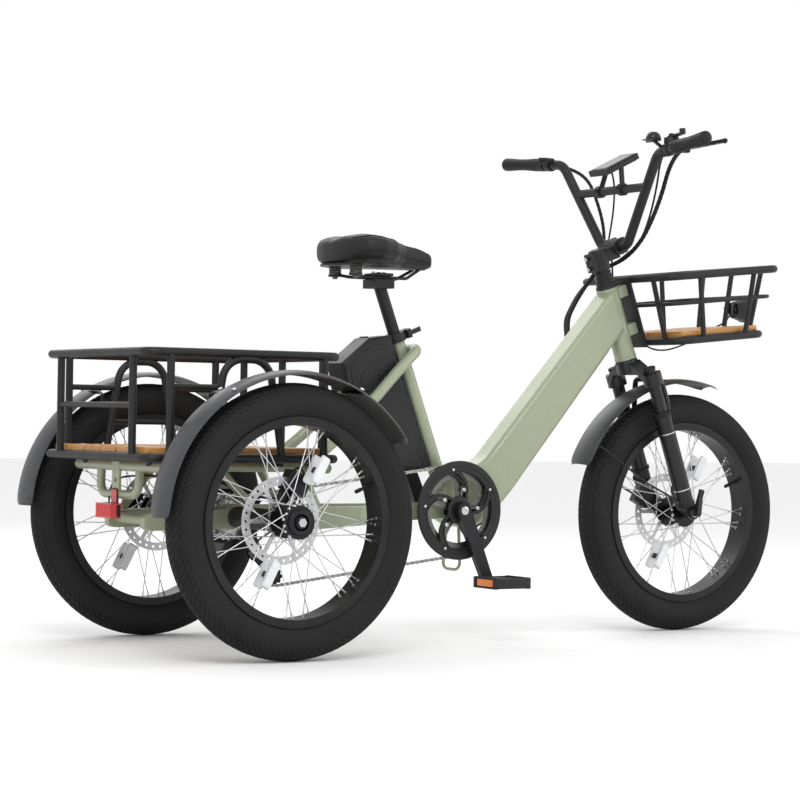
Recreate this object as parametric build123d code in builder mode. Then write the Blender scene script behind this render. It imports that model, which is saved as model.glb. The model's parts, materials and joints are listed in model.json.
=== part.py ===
from build123d import *
import os
from math import asin, atan2, cos, pi, radians, sin

# Electric adult tricycle.  +X points forward, +Y to the rider's left, +Z up, and the
# origin lies on the ground under the middle of the whole tricycle.  Millimetres.

# ---- overall layout -------------------------------------------------------------
WHEELBASE = 1240.0
TRACK = 647.0
TYRE_D = 560.0
TYRE_W = 78.0
FENDER_GAP = 24.0
FENDER_T = 2.0
FENDER_W = 80.0

AXLE_Z = TYRE_D / 2
REAR_FENDER_R = AXLE_Z + FENDER_GAP
REAR_X = -(WHEELBASE + AXLE_Z - REAR_FENDER_R - FENDER_T) / 2
FRONT_X = REAR_X + WHEELBASE

# ---- clearances -----------------------------------------------------------------
SEAT_GAP = 0.3
RUN_GAP = 0.05
PRESS_GAP = 0.1

# ---- wheels ---------------------------------------------------------------------
TYRE_WALL = 5.0
RIM_D = 424.0
RIM_W = 60.0
RIM_WALL = 3.6
RIM_DEPTH = 17.0
SPOKE_D = 2.3
SPOKES = 36
SPOKE_CROSS = 52.0
HUB_FLANGE_D = 69.0
HUB_FLANGE_T = 4.0
HUB_FLANGE_Y = 30.0
HUB_D = 36.0
AXLE_D = 20.0
ROTOR_D = 180.0
ROTOR_RING = 18.0
ROTOR_T = 2.0
REAR_ROTOR_Y = 46.0
FRONT_ROTOR_Y = 43.0
SKEWER_D = 9.0

# ---- frame tubes ----------------------------------------------------------------
HEAD_ANGLE = 19.6
HEAD_TUBE_D = 50.0
HEAD_TUBE_BORE = 44.0
HEAD_TUBE_LENGTH = 170.0
FORK_RAKE = 28.0
FORK_LENGTH = 395.0
STEERER_D = 28.6
SEAT_ANGLE = 21.0
SEAT_TUBE_D = 35.0
SEAT_TUBE_LENGTH = 412.0
SEAT_POST_D = 27.2
SEAT_FOOT_X = 587.0
BB_X = 573.0
BB_RISE = 10.0
BB_SHELL_D = 44.0
BB_SHELL_W = 73.0
BB_BORE = 36.0
DOWN_TUBE_W = 70.0
STAY_D = 24.0
BEAM_Y = 84.0
BEAM_T = 20.0
PLATFORM_D = 22.0
PLATFORM_H = 104.7
PLATFORM_Y = 95.0

# ---- drive ----------------------------------------------------------------------
CHAIN_Y = -62.0
CHAIN_W = 5.6
CHAIN_H = 8.0
CHAINRING_R = 100.0
CHAINRING_T = 2.2
GUARD_R = 110.0
GUARD_T = 7.0
CRANK_LENGTH = 170.0
CRANK_TURN = 23.0
CRANK_T = 14.0
CRANK_Y = 78.0
SPINDLE_D = 17.0
PEDAL_AXLE_D = 10.0
PEDAL_L = 96.0
PEDAL_W = 88.0
PEDAL_H = 26.0
SPROCKET_R = 38.0
SPROCKET_STEP = 3.95
JOCKEY_R = 20.0
UPPER_JOCKEY = (55.0, -75.0)
LOWER_JOCKEY = (110.0, -128.0)
JOCKEY_BOLT_D = 5.0

# ---- fork and steering ----------------------------------------------------------
LEG_Y = 70.0
LEG_X = 9.0
STANCHION_D = 30.0
LOWER_D = 40.0
LOWER_TOP = -141.0
BAR_D = 23.0
BAR_CLAMP_X = 53.0
BAR_CLAMP_Z = 257.0
CROSSBAR_D = 20.0
GRIP_D = 32.0
GRIP_L = 128.0
BAR_END_Y = 391.0

# ---- baskets, seat, battery -----------------------------------------------------
RAIL_D = 18.0
POST_D = 16.0
BASKET_BACK = -285.0
BASKET_FRONT = 155.0
BASKET_Y = 240.0
BASKET_LOW = 125.0
BASKET_HIGH = 337.0
SLAT_T = 12.0
SLAT_GAP = 6.0
BATTERY_Y = 36.0

REAR_SIDE = Plane(origin=(REAR_X, 0, AXLE_Z), x_dir=(1, 0, 0), z_dir=(0, -1, 0))
FRONT_SIDE = Plane(origin=(FRONT_X, 0, AXLE_Z), x_dir=(1, 0, 0), z_dir=(0, -1, 0))


def tilted(origin, angle):
    """Plane whose z leans back from the vertical by angle, with x pointing forward."""
    turn = radians(angle)
    return Plane(origin=origin, x_dir=(cos(turn), 0, sin(turn)), z_dir=(-sin(turn), 0, cos(turn)))


def rear(x, y, h):
    """Point x ahead of the rear axle, y to the left and h above the axles."""
    return Vector(REAR_X + x, y, AXLE_Z + h)


def front(x, y, h):
    """Point x ahead of the front axle, y to the left and h above the axles."""
    return Vector(FRONT_X + x, y, AXLE_Z + h)


AXLE_PLANE = tilted((FRONT_X, 0, AXLE_Z), HEAD_ANGLE)
HEAD = tilted(AXLE_PLANE.from_local_coords(Vector(-FORK_RAKE, 0, FORK_LENGTH)), HEAD_ANGLE)
SEAT = tilted(rear(SEAT_FOOT_X, 0, BB_RISE), SEAT_ANGLE)
BAR = tilted(HEAD.from_local_coords(Vector(BAR_CLAMP_X, 0, BAR_CLAMP_Z)), 0)


def on(plane, x, y, z):
    """World point with the local coordinates x, y, z of a plane."""
    return plane.from_local_coords(Vector(x, y, z))


def add_tube(start, end, diameter, mode=Mode.ADD):
    """Straight round bar from start to end, in the part being built."""
    run = Vector(*end) - Vector(*start)
    with BuildSketch(Plane(origin=start, z_dir=run)) as section:
        Circle(diameter / 2)
    extrude(section.sketch, amount=run.length, mode=mode)


def add_bent_tube(points, bends, diameter, close=False):
    """Round bar along straight runs joined by tangent bends, in the part being built."""
    with BuildLine() as path:
        FilletPolyline(*points, radius=bends, close=close)
    with BuildSketch(Plane(origin=path.line @ 0, z_dir=path.line % 0)) as section:
        Circle(diameter / 2)
    sweep(section.sketch, path=path.line)


def add_block(plane, x, y, z, size, mode=Mode.ADD):
    """Box of the given size centred on the local point x, y, z of a plane."""
    with Locations(plane * Location((x, y, z))):
        Box(*size, mode=mode)


def add_ring(plane, low, high, outer, inner=0.0, mode=Mode.ADD):
    """Round ring along a plane's normal, from low to high."""
    with BuildSketch(plane.offset(low)) as section:
        Circle(outer / 2)
        if inner:
            Circle(inner / 2, mode=Mode.SUBTRACT)
    extrude(section.sketch, amount=high - low, mode=mode)


def save(piece, label):
    """Label a finished piece and write it as a STEP file."""
    piece.part.label = label
    export_step(piece.part, "parts/" + label + ".step")
    print(label, len(piece.part.solids()))


os.makedirs("parts", exist_ok=True)

# ---- main frame: head tube, down tube, seat tube, bottom bracket shell ------------
SIDE_AT_BB = Plane(origin=rear(BB_X, 0, BB_RISE), x_dir=(1, 0, 0), z_dir=(0, -1, 0))
BASKET_BOSSES = (62.0, 154.0)
BOSS_FACE = HEAD_TUBE_D / 2 + 18.0
GUIDE_LOOP = ((12, -30, 0), (4, -132, 0), (50, -138, 0), (44, -28, 0))

with BuildPart() as main_frame:
    head_rear_low = HEAD.from_local_coords(Vector(-8, 0, 66))
    head_rear_high = HEAD.from_local_coords(Vector(-14, 0, HEAD_TUBE_LENGTH - 7))
    low_corner = SIDE_AT_BB.to_local_coords(head_rear_low)
    high_corner = SIDE_AT_BB.to_local_coords(head_rear_high)
    with BuildSketch(SIDE_AT_BB) as down_tube_side:
        with BuildLine():
            upper = Line((high_corner.X, high_corner.Y), (109, 126))
            throat = TangentArc(upper @ 1, (55, 96), tangent=upper % 1)
            back = Polyline(throat @ 1, (-6, 92), (-20, -6))
            belly = TangentArc(back @ 1, (18, -36), tangent=(0.515, -0.857))
            floor = TangentArc(belly @ 1, (104, -20), tangent=belly % 1)
            heel = TangentArc(floor @ 1, (190, 66), tangent=floor % 1)
            Line(heel @ 1, (low_corner.X, low_corner.Y))
            Line((low_corner.X, low_corner.Y), (high_corner.X, high_corner.Y))
        make_face()
    extrude(amount=DOWN_TUBE_W / 2, both=True)
    long_edges = main_frame.edges().filter_by(GeomType.LINE).filter_by(lambda e: e.length > 250)
    fillet(long_edges, radius=14)
    add_ring(HEAD, 0, HEAD_TUBE_LENGTH, HEAD_TUBE_D)
    add_ring(SEAT, 0, SEAT_TUBE_LENGTH, SEAT_TUBE_D)
    add_ring(SIDE_AT_BB, -BB_SHELL_W / 2, BB_SHELL_W / 2, BB_SHELL_D)
    add_bent_tube([on(SIDE_AT_BB, *p) for p in GUIDE_LOOP], 14, 7)
    for boss_height in BASKET_BOSSES:
        add_block(HEAD, BOSS_FACE / 2 + 8, 0, boss_height, (BOSS_FACE - 16, 34, 26))
    add_ring(HEAD, -1, HEAD_TUBE_LENGTH + 1, HEAD_TUBE_BORE, mode=Mode.SUBTRACT)
    add_ring(SEAT, 90, SEAT_TUBE_LENGTH + 1, SEAT_POST_D + 2 * PRESS_GAP, mode=Mode.SUBTRACT)
    add_ring(SIDE_AT_BB, -BB_SHELL_W, BB_SHELL_W, BB_BORE, mode=Mode.SUBTRACT)
save(main_frame, "main_frame")

# ---- seat stays: one tube bent round the front of the seat tube -------------------
PLATFORM_FRONT = 165.0
PLATFORM_BACK = -226.0
PLATFORM_CAGE_Y = 200.0
WRAP_HEIGHT = 370.0
WRAP_REACH = (SEAT_TUBE_D + STAY_D) / 2 + 0.2

stay_root = rear(PLATFORM_FRONT, PLATFORM_Y - 5, PLATFORM_H)
stay_knee = rear(236, 82, 158)
stay_foot = stay_root + (stay_knee - stay_root).normalized() * (PLATFORM_D / 2 + 1.3)
wrap = SEAT.from_local_coords(Vector(WRAP_REACH, 0, WRAP_HEIGHT))

with BuildPart() as seat_stays:
    left_run = [stay_foot, stay_knee, rear(356, 66, 261), wrap + Vector(-58, 53, -42)]
    left_run.append(wrap + Vector(0, 31, 0))
    right_run = [Vector(p.X, -p.Y, p.Z) for p in reversed(left_run)]
    bends = [90, 90, 60, 26, 26, 60, 90, 90]
    add_bent_tube(left_run + right_run, bends, STAY_D)
save(seat_stays, "seat_stays")

# ---- rear subframe: two deep beams that carry the axle -----------------------------
BEAM_BACK = -215.0
BEAM_FRONT = BB_X - BB_SHELL_D / 2 - SEAT_GAP
BEARING_D = 40.0
BEAM_CROSS = (-190.0, 215.0)

with BuildPart() as rear_subframe:
    for side in (-1, 1):
        near = side * (BEAM_Y - BEAM_T / 2)
        far = side * (BEAM_Y + BEAM_T / 2)
        with BuildSketch(Plane(origin=(REAR_X, 0, AXLE_Z - 40))):
            with BuildLine():
                Polyline(
                    (BEAM_BACK, far), (303, far), (462, side * 45), (BEAM_FRONT, side * 41),
                    (BEAM_FRONT, side * 22), (452, side * 24), (296, near), (BEAM_BACK, near),
                    close=True,
                )
            make_face()
        extrude(amount=80)
    with BuildSketch(REAR_SIDE):
        with BuildLine():
            RadiusArc((BEAM_BACK + 16, -27), (BEAM_BACK + 16, 9), 18)
            Polyline((BEAM_BACK + 16, 9), (0, 18), (200, 20), (348, 21), (BEAM_FRONT, 24))
            Polyline((BEAM_FRONT, 24), (BEAM_FRONT, -8), (348, -17), (200, -27))
            Polyline((200, -27), (0, -24), (BEAM_BACK + 16, -27))
        make_face()
    extrude(amount=150, both=True, mode=Mode.INTERSECT)
    for x in BEAM_CROSS:
        add_tube(rear(x, -BEAM_Y, -6), rear(x, BEAM_Y, -6), PLATFORM_D)
    for side in (-1, 1):
        low = side * BEAM_Y - BEAM_T / 2 - 1
        add_ring(REAR_SIDE, -low - BEAM_T - 2, -low, BEARING_D + 14)
        add_ring(REAR_SIDE, -low - BEAM_T - 3, 1 - low, BEARING_D, mode=Mode.SUBTRACT)
save(rear_subframe, "rear_subframe")

# ---- rear platform: rails, uprights, braces and the bumper loop --------------------
BUMPER_Y = 90.0
BUMPER_H = 45.0
TAB_HOLE_D = 10.0
TAB_T = 5.0

with BuildPart() as rear_platform:
    for x in (PLATFORM_BACK, PLATFORM_FRONT):
        reach = PLATFORM_CAGE_Y if x == PLATFORM_BACK else PLATFORM_CAGE_Y - 20
        add_tube(rear(x, -reach, PLATFORM_H), rear(x, reach, PLATFORM_H), PLATFORM_D)
    for side in (-1, 1):
        add_tube(
            rear(PLATFORM_BACK, side * PLATFORM_Y, PLATFORM_H),
            rear(PLATFORM_FRONT, side * PLATFORM_Y, PLATFORM_H),
            PLATFORM_D - 1.5,
        )
        add_tube(
            rear(-100, side * PLATFORM_Y, PLATFORM_H), rear(-178, side * BEAM_Y, 15), PLATFORM_D - 4
        )
        add_tube(
            rear(-50, side * PLATFORM_Y, PLATFORM_H), rear(38, side * BEAM_Y, 24), PLATFORM_D - 4
        )
        add_tube(
            rear(150, side * PLATFORM_Y, PLATFORM_H), rear(196, side * BEAM_Y, 24), PLATFORM_D - 4
        )
    bumper = [
        rear(PLATFORM_BACK, -BUMPER_Y, PLATFORM_H - 3), rear(PLATFORM_BACK - 2, -BUMPER_Y, BUMPER_H),
        rear(PLATFORM_BACK - 2, BUMPER_Y, BUMPER_H), rear(PLATFORM_BACK, BUMPER_Y, PLATFORM_H - 3),
    ]
    add_bent_tube(bumper, 28, PLATFORM_D - 4)
    tab = rear(PLATFORM_BACK - PLATFORM_D / 2 + TAB_T / 2, 0, (PLATFORM_H + BUMPER_H) / 2)
    tab_plane = Plane(origin=tab, x_dir=(0, 1, 0), z_dir=(-1, 0, 0))
    add_block(tab_plane, 0, 0, 0, (34, 76, TAB_T))
    add_ring(tab_plane, -TAB_T, TAB_T, TAB_HOLE_D, mode=Mode.SUBTRACT)
    with BuildSketch(REAR_SIDE) as beam_clearance:
        with BuildLine():
            Polyline(
                (BEAM_BACK - 5, 10.0), (BEAM_BACK + 16, 9.3), (0, 18.3), (200, 20.3), (240, 20.5),
                (240, -60), (BEAM_BACK - 5, -60), close=True,
            )
        make_face()
    extrude(beam_clearance.sketch, amount=150, both=True, mode=Mode.SUBTRACT)
    add_ring(REAR_SIDE, -150, 150, BEARING_D + 15, mode=Mode.SUBTRACT)
save(rear_platform, "rear_platform")

# ---- bearings: headset cups, bottom bracket cups, axle bearings --------------------
CUP_T = 8.0
CUP_DEPTH = 12.0
BEARING_W = 22.0

with BuildPart() as bearings:
    for low, high, boss_low, boss_high in (
        (-CUP_T, -PRESS_GAP, -PRESS_GAP, CUP_DEPTH),
        (
            HEAD_TUBE_LENGTH + PRESS_GAP, HEAD_TUBE_LENGTH + CUP_T,
            HEAD_TUBE_LENGTH - CUP_DEPTH, HEAD_TUBE_LENGTH + PRESS_GAP,
        ),
    ):
        add_ring(HEAD, low, high, HEAD_TUBE_D - 1, STEERER_D + 2 * RUN_GAP)
        add_ring(HEAD, boss_low, boss_high, HEAD_TUBE_BORE - 2 * PRESS_GAP, STEERER_D + 2 * RUN_GAP)
    for side in (-1, 1):
        inner_end = side * (BB_SHELL_W / 2 - 20)
        outer_end = side * BB_SHELL_W / 2
        add_ring(
            SIDE_AT_BB, min(inner_end, outer_end), max(inner_end, outer_end),
            BB_BORE - 2 * PRESS_GAP, SPINDLE_D + 2 * RUN_GAP,
        )
        centre = side * BEAM_Y
        add_ring(
            REAR_SIDE, centre - BEARING_W / 2, centre + BEARING_W / 2,
            BEARING_D - 2 * PRESS_GAP, AXLE_D + 2 * RUN_GAP,
        )
save(bearings, "bearings")

# ---- axle housing: motor and differential case, outer tubes, caliper arms ----------
WHEEL_Y = TRACK / 2
ROTOR_Y = WHEEL_Y - REAR_ROTOR_Y
HOUSING_D = 46.0
CASE_D = 112.0
CALIPER_TURN = 66.0
CALIPER_LOW = 62.0
CALIPER_ARM_W = 44.0
CALIPER_ARM_T = 6.0

with BuildPart() as axle_housing:
    add_ring(REAR_SIDE, -62, 36, CASE_D)
    add_ring(REAR_SIDE, -70, 44, CASE_D - 40)
    fillet(axle_housing.edges().filter_by(GeomType.CIRCLE).group_by(Axis.Y)[1:-1], radius=4)
    add_ring(REAR_SIDE, 43, -CHAIN_Y + 10, 30)
    for side in (-1, 1):
        inner = BEAM_Y + BEARING_W / 2 + SEAT_GAP
        outer = ROTOR_Y - 9
        low = min(side * inner, side * outer)
        high = max(side * inner, side * outer)
        add_ring(REAR_SIDE, low, high, HOUSING_D, AXLE_D + 2)
        arm = Plane(
            origin=rear(0, -side * (outer - CALIPER_ARM_T / 2), 0),
            x_dir=(cos(radians(CALIPER_TURN)), 0, sin(radians(CALIPER_TURN))), z_dir=(0, -1, 0),
        )
        arm_length = CALIPER_LOW - SEAT_GAP - HOUSING_D / 2 + 6
        arm_middle = CALIPER_LOW - SEAT_GAP - arm_length / 2
        add_block(arm, arm_middle, 0, 0, (arm_length, CALIPER_ARM_W, CALIPER_ARM_T))
save(axle_housing, "axle_housing")


# ---- brake calipers ----------------------------------------------------------------
CALIPER_NEAR = 13.0
CALIPER_FAR = 19.0
CALIPER_HIGH = 104.0
CALIPER_L = 50.0
PAD_GAP = 0.6


def add_caliper(centre, turn, rotor_y, away):
    """Caliper body that straddles the rotor, in the part being built.

    away is the sign of y on the rotor's side that faces away from the spokes.
    """
    plane = Plane(
        origin=(centre.X, rotor_y, centre.Z),
        x_dir=(cos(radians(turn)), 0, sin(radians(turn))), z_dir=(0, away, 0),
    )
    middle = (CALIPER_LOW + CALIPER_HIGH) / 2
    width = CALIPER_NEAR + CALIPER_FAR
    add_block(
        plane, middle, 0, (CALIPER_FAR - CALIPER_NEAR) / 2,
        (CALIPER_HIGH - CALIPER_LOW, CALIPER_L, width),
    )
    with BuildSketch(plane.offset(-CALIPER_NEAR)) as knob:
        with Locations((middle - 4, 0)):
            Circle(12)
    extrude(knob.sketch, amount=width + 6)
    slot_w = ROTOR_T + 2 * PAD_GAP
    slot_top = ROTOR_D / 2 + 2
    add_block(
        plane, (slot_top + CALIPER_LOW - 20) / 2, 0, 0,
        (slot_top - CALIPER_LOW + 20, CALIPER_L + 10, slot_w), mode=Mode.SUBTRACT,
    )


with BuildPart() as rear_brake_calipers:
    for side in (-1, 1):
        add_caliper(rear(0, 0, 0), CALIPER_TURN, side * ROTOR_Y, -side)
save(rear_brake_calipers, "rear_brake_calipers")


# ---- wheels ------------------------------------------------------------------------
def spoke_ends(plane, turn, side, lead):
    """Hub end and rim end of one spoke, in world coordinates."""
    hub_turn = radians(turn)
    rim_turn = radians(turn + lead * SPOKE_CROSS)
    hub_r = HUB_FLANGE_D / 2 + SPOKE_D / 2 + PRESS_GAP
    rim_r = RIM_D / 2 - RIM_DEPTH - SEAT_GAP
    hub_end = (hub_r * cos(hub_turn), hub_r * sin(hub_turn), side * HUB_FLANGE_Y + lead * 1.8)
    rim_end = (rim_r * cos(rim_turn), rim_r * sin(rim_turn), side * 5 + lead * 1.8)
    return on(plane, *hub_end), on(plane, *rim_end)


def make_wheel(name, centre):
    """Write the tyre, rim and spokes of one wheel centred on a point."""
    axle = Plane(origin=centre, x_dir=(1, 0, 0), z_dir=(0, -1, 0))
    section = Plane(origin=centre, x_dir=(0, 1, 0), z_dir=(1, 0, 0))
    about = Axis(centre, (0, 1, 0))
    tube_r = TYRE_W / 2
    tube_centre = TYRE_D / 2 - tube_r
    rim_r = RIM_D / 2
    floor_r = rim_r - RIM_DEPTH
    bead_y = RIM_W / 2 - RIM_WALL - SEAT_GAP - TYRE_WALL / 2
    with BuildPart() as tyre:
        with BuildSketch(section):
            with Locations((0, tube_centre)):
                Circle(tube_r)
                Circle(tube_r - TYRE_WALL, mode=Mode.SUBTRACT)
            with Locations((0, rim_r - 50)):
                Rectangle(2 * TYRE_W, 100, mode=Mode.SUBTRACT)
            bead_low = floor_r + RIM_WALL + SEAT_GAP
            for side in (-1, 1):
                with Locations((side * bead_y, (bead_low + rim_r + 5) / 2)):
                    Rectangle(TYRE_WALL, rim_r + 5 - bead_low)
        revolve(axis=about)
    save(tyre, name + "_tyre")
    with BuildPart() as rim:
        with BuildSketch(section):
            with Locations((0, floor_r + RIM_WALL / 2)):
                Rectangle(RIM_W, RIM_WALL)
            for side in (-1, 1):
                with Locations((side * (RIM_W - RIM_WALL) / 2, floor_r + RIM_DEPTH / 2)):
                    Rectangle(RIM_WALL, RIM_DEPTH)
        revolve(axis=about)
    save(rim, name + "_rim")
    with BuildPart() as spokes:
        for index in range(SPOKES // 2):
            for side in (-1, 1):
                lead = 1 if index % 2 else -1
                turn = (index + 0.25 * (side + 1)) * 720 / SPOKES
                add_tube(*spoke_ends(axle, turn, side, lead), SPOKE_D)
    save(spokes, name + "_spokes")


def add_rotor(plane, height, bore):
    """Brake rotor centred on a local height of an axle plane, in the part being built."""
    ring_r = ROTOR_D / 2 - ROTOR_RING
    with BuildSketch(plane.offset(height - ROTOR_T / 2)) as disc:
        Circle(ROTOR_D / 2)
        Circle(ring_r, mode=Mode.SUBTRACT)
        Circle(bore / 2 + 10)
        with PolarLocations((ring_r + bore / 2 + 8) / 2, 6):
            Rectangle(ring_r - bore / 2 - 4, 9)
        Circle(bore / 2, mode=Mode.SUBTRACT)
        with PolarLocations(ROTOR_D / 2 - ROTOR_RING / 2, 30):
            Circle(3, mode=Mode.SUBTRACT)
    extrude(disc.sketch, amount=ROTOR_T)


for name, side in (("rear_right", 1), ("rear_left", -1)):
    make_wheel(name, rear(0, -side * WHEEL_Y, 0))
    hub_plane = Plane(
        origin=rear(0, -side * WHEEL_Y, 0), x_dir=(1, 0, 0), z_dir=(0, -side, 0)
    )
    with BuildPart() as hub:
        add_ring(hub_plane, -WHEEL_Y - CHAIN_Y + 11, 34, AXLE_D)
        add_ring(hub_plane, -REAR_ROTOR_Y - 6, 32, HUB_D)
        for height in (-HUB_FLANGE_Y, HUB_FLANGE_Y):
            add_ring(hub_plane, height - HUB_FLANGE_T / 2, height + HUB_FLANGE_T / 2, HUB_FLANGE_D)
        with BuildSketch(hub_plane.offset(32)) as cone:
            Circle(17)
        extrude(cone.sketch, amount=6, taper=35)
        with BuildSketch(hub_plane.offset(38)) as nut:
            RegularPolygon(9.5, 6)
        extrude(nut.sketch, amount=7)
        add_rotor(hub_plane, -REAR_ROTOR_Y, HUB_D + 2 * PRESS_GAP)
    save(hub, name + "_hub")

# ---- front hub ---------------------------------------------------------------------
FRONT_HUB_HALF = 50.0

make_wheel("front", front(0, 0, 0))
with BuildPart() as front_hub:
    add_ring(FRONT_SIDE, -34, 32, HUB_D - 2)
    for height in (-HUB_FLANGE_Y, HUB_FLANGE_Y):
        low = height - HUB_FLANGE_T / 2
        add_ring(FRONT_SIDE, low, low + HUB_FLANGE_T, HUB_FLANGE_D)
    add_ring(FRONT_SIDE, -FRONT_HUB_HALF, FRONT_HUB_HALF, 22)
    add_rotor(FRONT_SIDE, -FRONT_ROTOR_Y, 22 + 2 * PRESS_GAP)
    add_ring(FRONT_SIDE, -60, 60, SKEWER_D + 2 * RUN_GAP, mode=Mode.SUBTRACT)
save(front_hub, "front_hub")

# ---- fork crown with steerer and stanchions ----------------------------------------
CROWN_LOW = -71.0
CROWN_HIGH = -41.0
STEERER_TOP = BAR_CLAMP_Z + 4.0
STANCHION_END = -262.0
TRAVEL = 34.0

with BuildPart() as fork_crown:
    add_ring(HEAD, -32, STEERER_TOP, STEERER_D)
    add_ring(HEAD, -34, -CUP_T - SEAT_GAP, HEAD_TUBE_D + 4)
    with BuildSketch(HEAD.offset(CROWN_LOW)) as shoulders:
        for side in (-1, 1):
            with Locations((LEG_X, side * LEG_Y)):
                Circle(STANCHION_D / 2 + 8)
    extrude(shoulders.sketch, amount=CROWN_HIGH - CROWN_LOW)
    bridge = Plane(origin=HEAD.origin, x_dir=tuple(HEAD.y_dir), z_dir=tuple(HEAD.x_dir))
    with BuildSketch(bridge.offset(-14)) as arms:
        Polygon(
            (-26, -10), (-LEG_Y, CROWN_HIGH - 2), (-LEG_Y, CROWN_LOW + 6), (-46, -38),
            (46, -38), (LEG_Y, CROWN_LOW + 6), (LEG_Y, CROWN_HIGH - 2), (26, -10), align=None,
        )
    extrude(arms.sketch, amount=34)
    for side in (-1, 1):
        with BuildSketch(HEAD.offset(CROWN_HIGH)) as knob:
            with Locations((LEG_X, side * LEG_Y)):
                Circle(12)
        extrude(knob.sketch, amount=9)
        add_tube(
            on(HEAD, LEG_X, side * LEG_Y, CROWN_LOW + 6), on(HEAD, LEG_X, side * LEG_Y, STANCHION_END),
            STANCHION_D,
        )
save(fork_crown, "fork_crown")

# ---- fork lowers: two legs, dropouts and the arch -----------------------------------
LOWER_BORE = STANCHION_D + 0.8
LOWER_END = -FORK_LENGTH + 26.0
DROPOUT_T = 10.0
DROPOUT_Y = FRONT_HUB_HALF + SEAT_GAP
ARCH_D = 13.0
ARCH_R = TYRE_D / 2 + FENDER_GAP + 24

with BuildPart() as fork_lowers:
    for side in (-1, 1):
        leg_foot = on(HEAD, LEG_X, side * LEG_Y, LOWER_END)
        add_tube(leg_foot, on(HEAD, LEG_X, side * LEG_Y, LOWER_TOP), LOWER_D)
        face = Plane(origin=front(0, side * DROPOUT_Y, 0), x_dir=(1, 0, 0), z_dir=(0, side, 0))
        foot = face.to_local_coords(leg_foot)
        crest = face.to_local_coords(on(HEAD, LEG_X - 4, 0, LOWER_END + 40))
        with BuildSketch(face) as dropout:
            Circle(16)
            with Locations((foot.X, foot.Y), (crest.X, crest.Y)):
                Circle(15)
            make_hull()
            Circle(SKEWER_D / 2 + PRESS_GAP, mode=Mode.SUBTRACT)
        extrude(dropout.sketch, amount=DROPOUT_T + 6)
    arch_top = HEAD.from_local_coords(Vector(FORK_RAKE + 20, 0, ARCH_R - FORK_LENGTH - 1))
    arch = [
        on(HEAD, LEG_X + 17, -LEG_Y + 4, LOWER_TOP - 24), on(HEAD, LEG_X + 30, -LEG_Y + 8, -118),
        Vector(arch_top.X, -48, arch_top.Z), Vector(arch_top.X, 48, arch_top.Z),
        on(HEAD, LEG_X + 30, LEG_Y - 8, -118), on(HEAD, LEG_X + 17, LEG_Y - 4, LOWER_TOP - 24),
    ]
    add_bent_tube(arch, 16, ARCH_D)
    for side in (-1, 1):
        add_tube(
            on(HEAD, LEG_X, side * LEG_Y, STANCHION_END - TRAVEL - 12),
            on(HEAD, LEG_X, side * LEG_Y, LOWER_TOP + 1), LOWER_BORE, mode=Mode.SUBTRACT,
        )
save(fork_lowers, "fork_lowers")

# ---- front axle skewer, quick release, caliper ---------------------------------------
NUT_Y = DROPOUT_Y + DROPOUT_T + 6 + SEAT_GAP
WASHER_T = 4.0
with BuildPart() as front_axle:
    add_ring(FRONT_SIDE, -NUT_Y - 10, NUT_Y + WASHER_T, SKEWER_D)
    add_ring(FRONT_SIDE, -NUT_Y - 10, -NUT_Y, 18)
    add_ring(FRONT_SIDE, NUT_Y, NUT_Y + WASHER_T, 20)
save(front_axle, "front_axle")

QR_TURN = 80.0
CAM_R = 8.5
QR_PIVOT_Y = NUT_Y + WASHER_T + SEAT_GAP + CAM_R
with BuildPart() as front_quick_release:
    along = (cos(radians(QR_TURN)), 0, sin(radians(QR_TURN)))
    hinge = (sin(radians(QR_TURN)), 0, -cos(radians(QR_TURN)))
    with BuildSketch(Plane(origin=front(0, -QR_PIVOT_Y, 0), x_dir=along, z_dir=hinge)) as lever:
        Circle(CAM_R)
        with Locations((34, 1)):
            Circle(4)
        make_hull()
        with Locations((44, 2)):
            SlotOverall(26, 7, rotation=8)
    extrude(lever.sketch, amount=6, both=True)
save(front_quick_release, "front_quick_release")

CALIPER_BACK_TURN = 152.0
with BuildPart() as front_brake_caliper:
    add_caliper(front(0, 0, 0), CALIPER_BACK_TURN, FRONT_ROTOR_Y, 1)
    add_block(FRONT_SIDE, 0, 0, -DROPOUT_Y + SEAT_GAP - 20, (300, 300, 40), mode=Mode.SUBTRACT)
    leg_clear = on(HEAD, LEG_X, LEG_Y, LOWER_END - 10)
    add_tube(leg_clear, on(HEAD, LEG_X, LEG_Y, LOWER_TOP), LOWER_D + 2 * SEAT_GAP, mode=Mode.SUBTRACT)
save(front_brake_caliper, "front_brake_caliper")


# ---- fenders -------------------------------------------------------------------------
def add_band(plane, radius, thickness, start, sweep_angle, width, middle=0.0):
    """Curved plate about an axle, from a start angle, in the part being built."""
    with BuildSketch(plane.offset(middle - width / 2)) as band:
        with BuildLine():
            outer = CenterArc((0, 0), radius + thickness, start, sweep_angle)
            inner = CenterArc((0, 0), radius, start, sweep_angle)
            Line(outer @ 0, inner @ 0)
            Line(outer @ 1, inner @ 1)
        make_face()
    extrude(band.sketch, amount=width)


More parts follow.
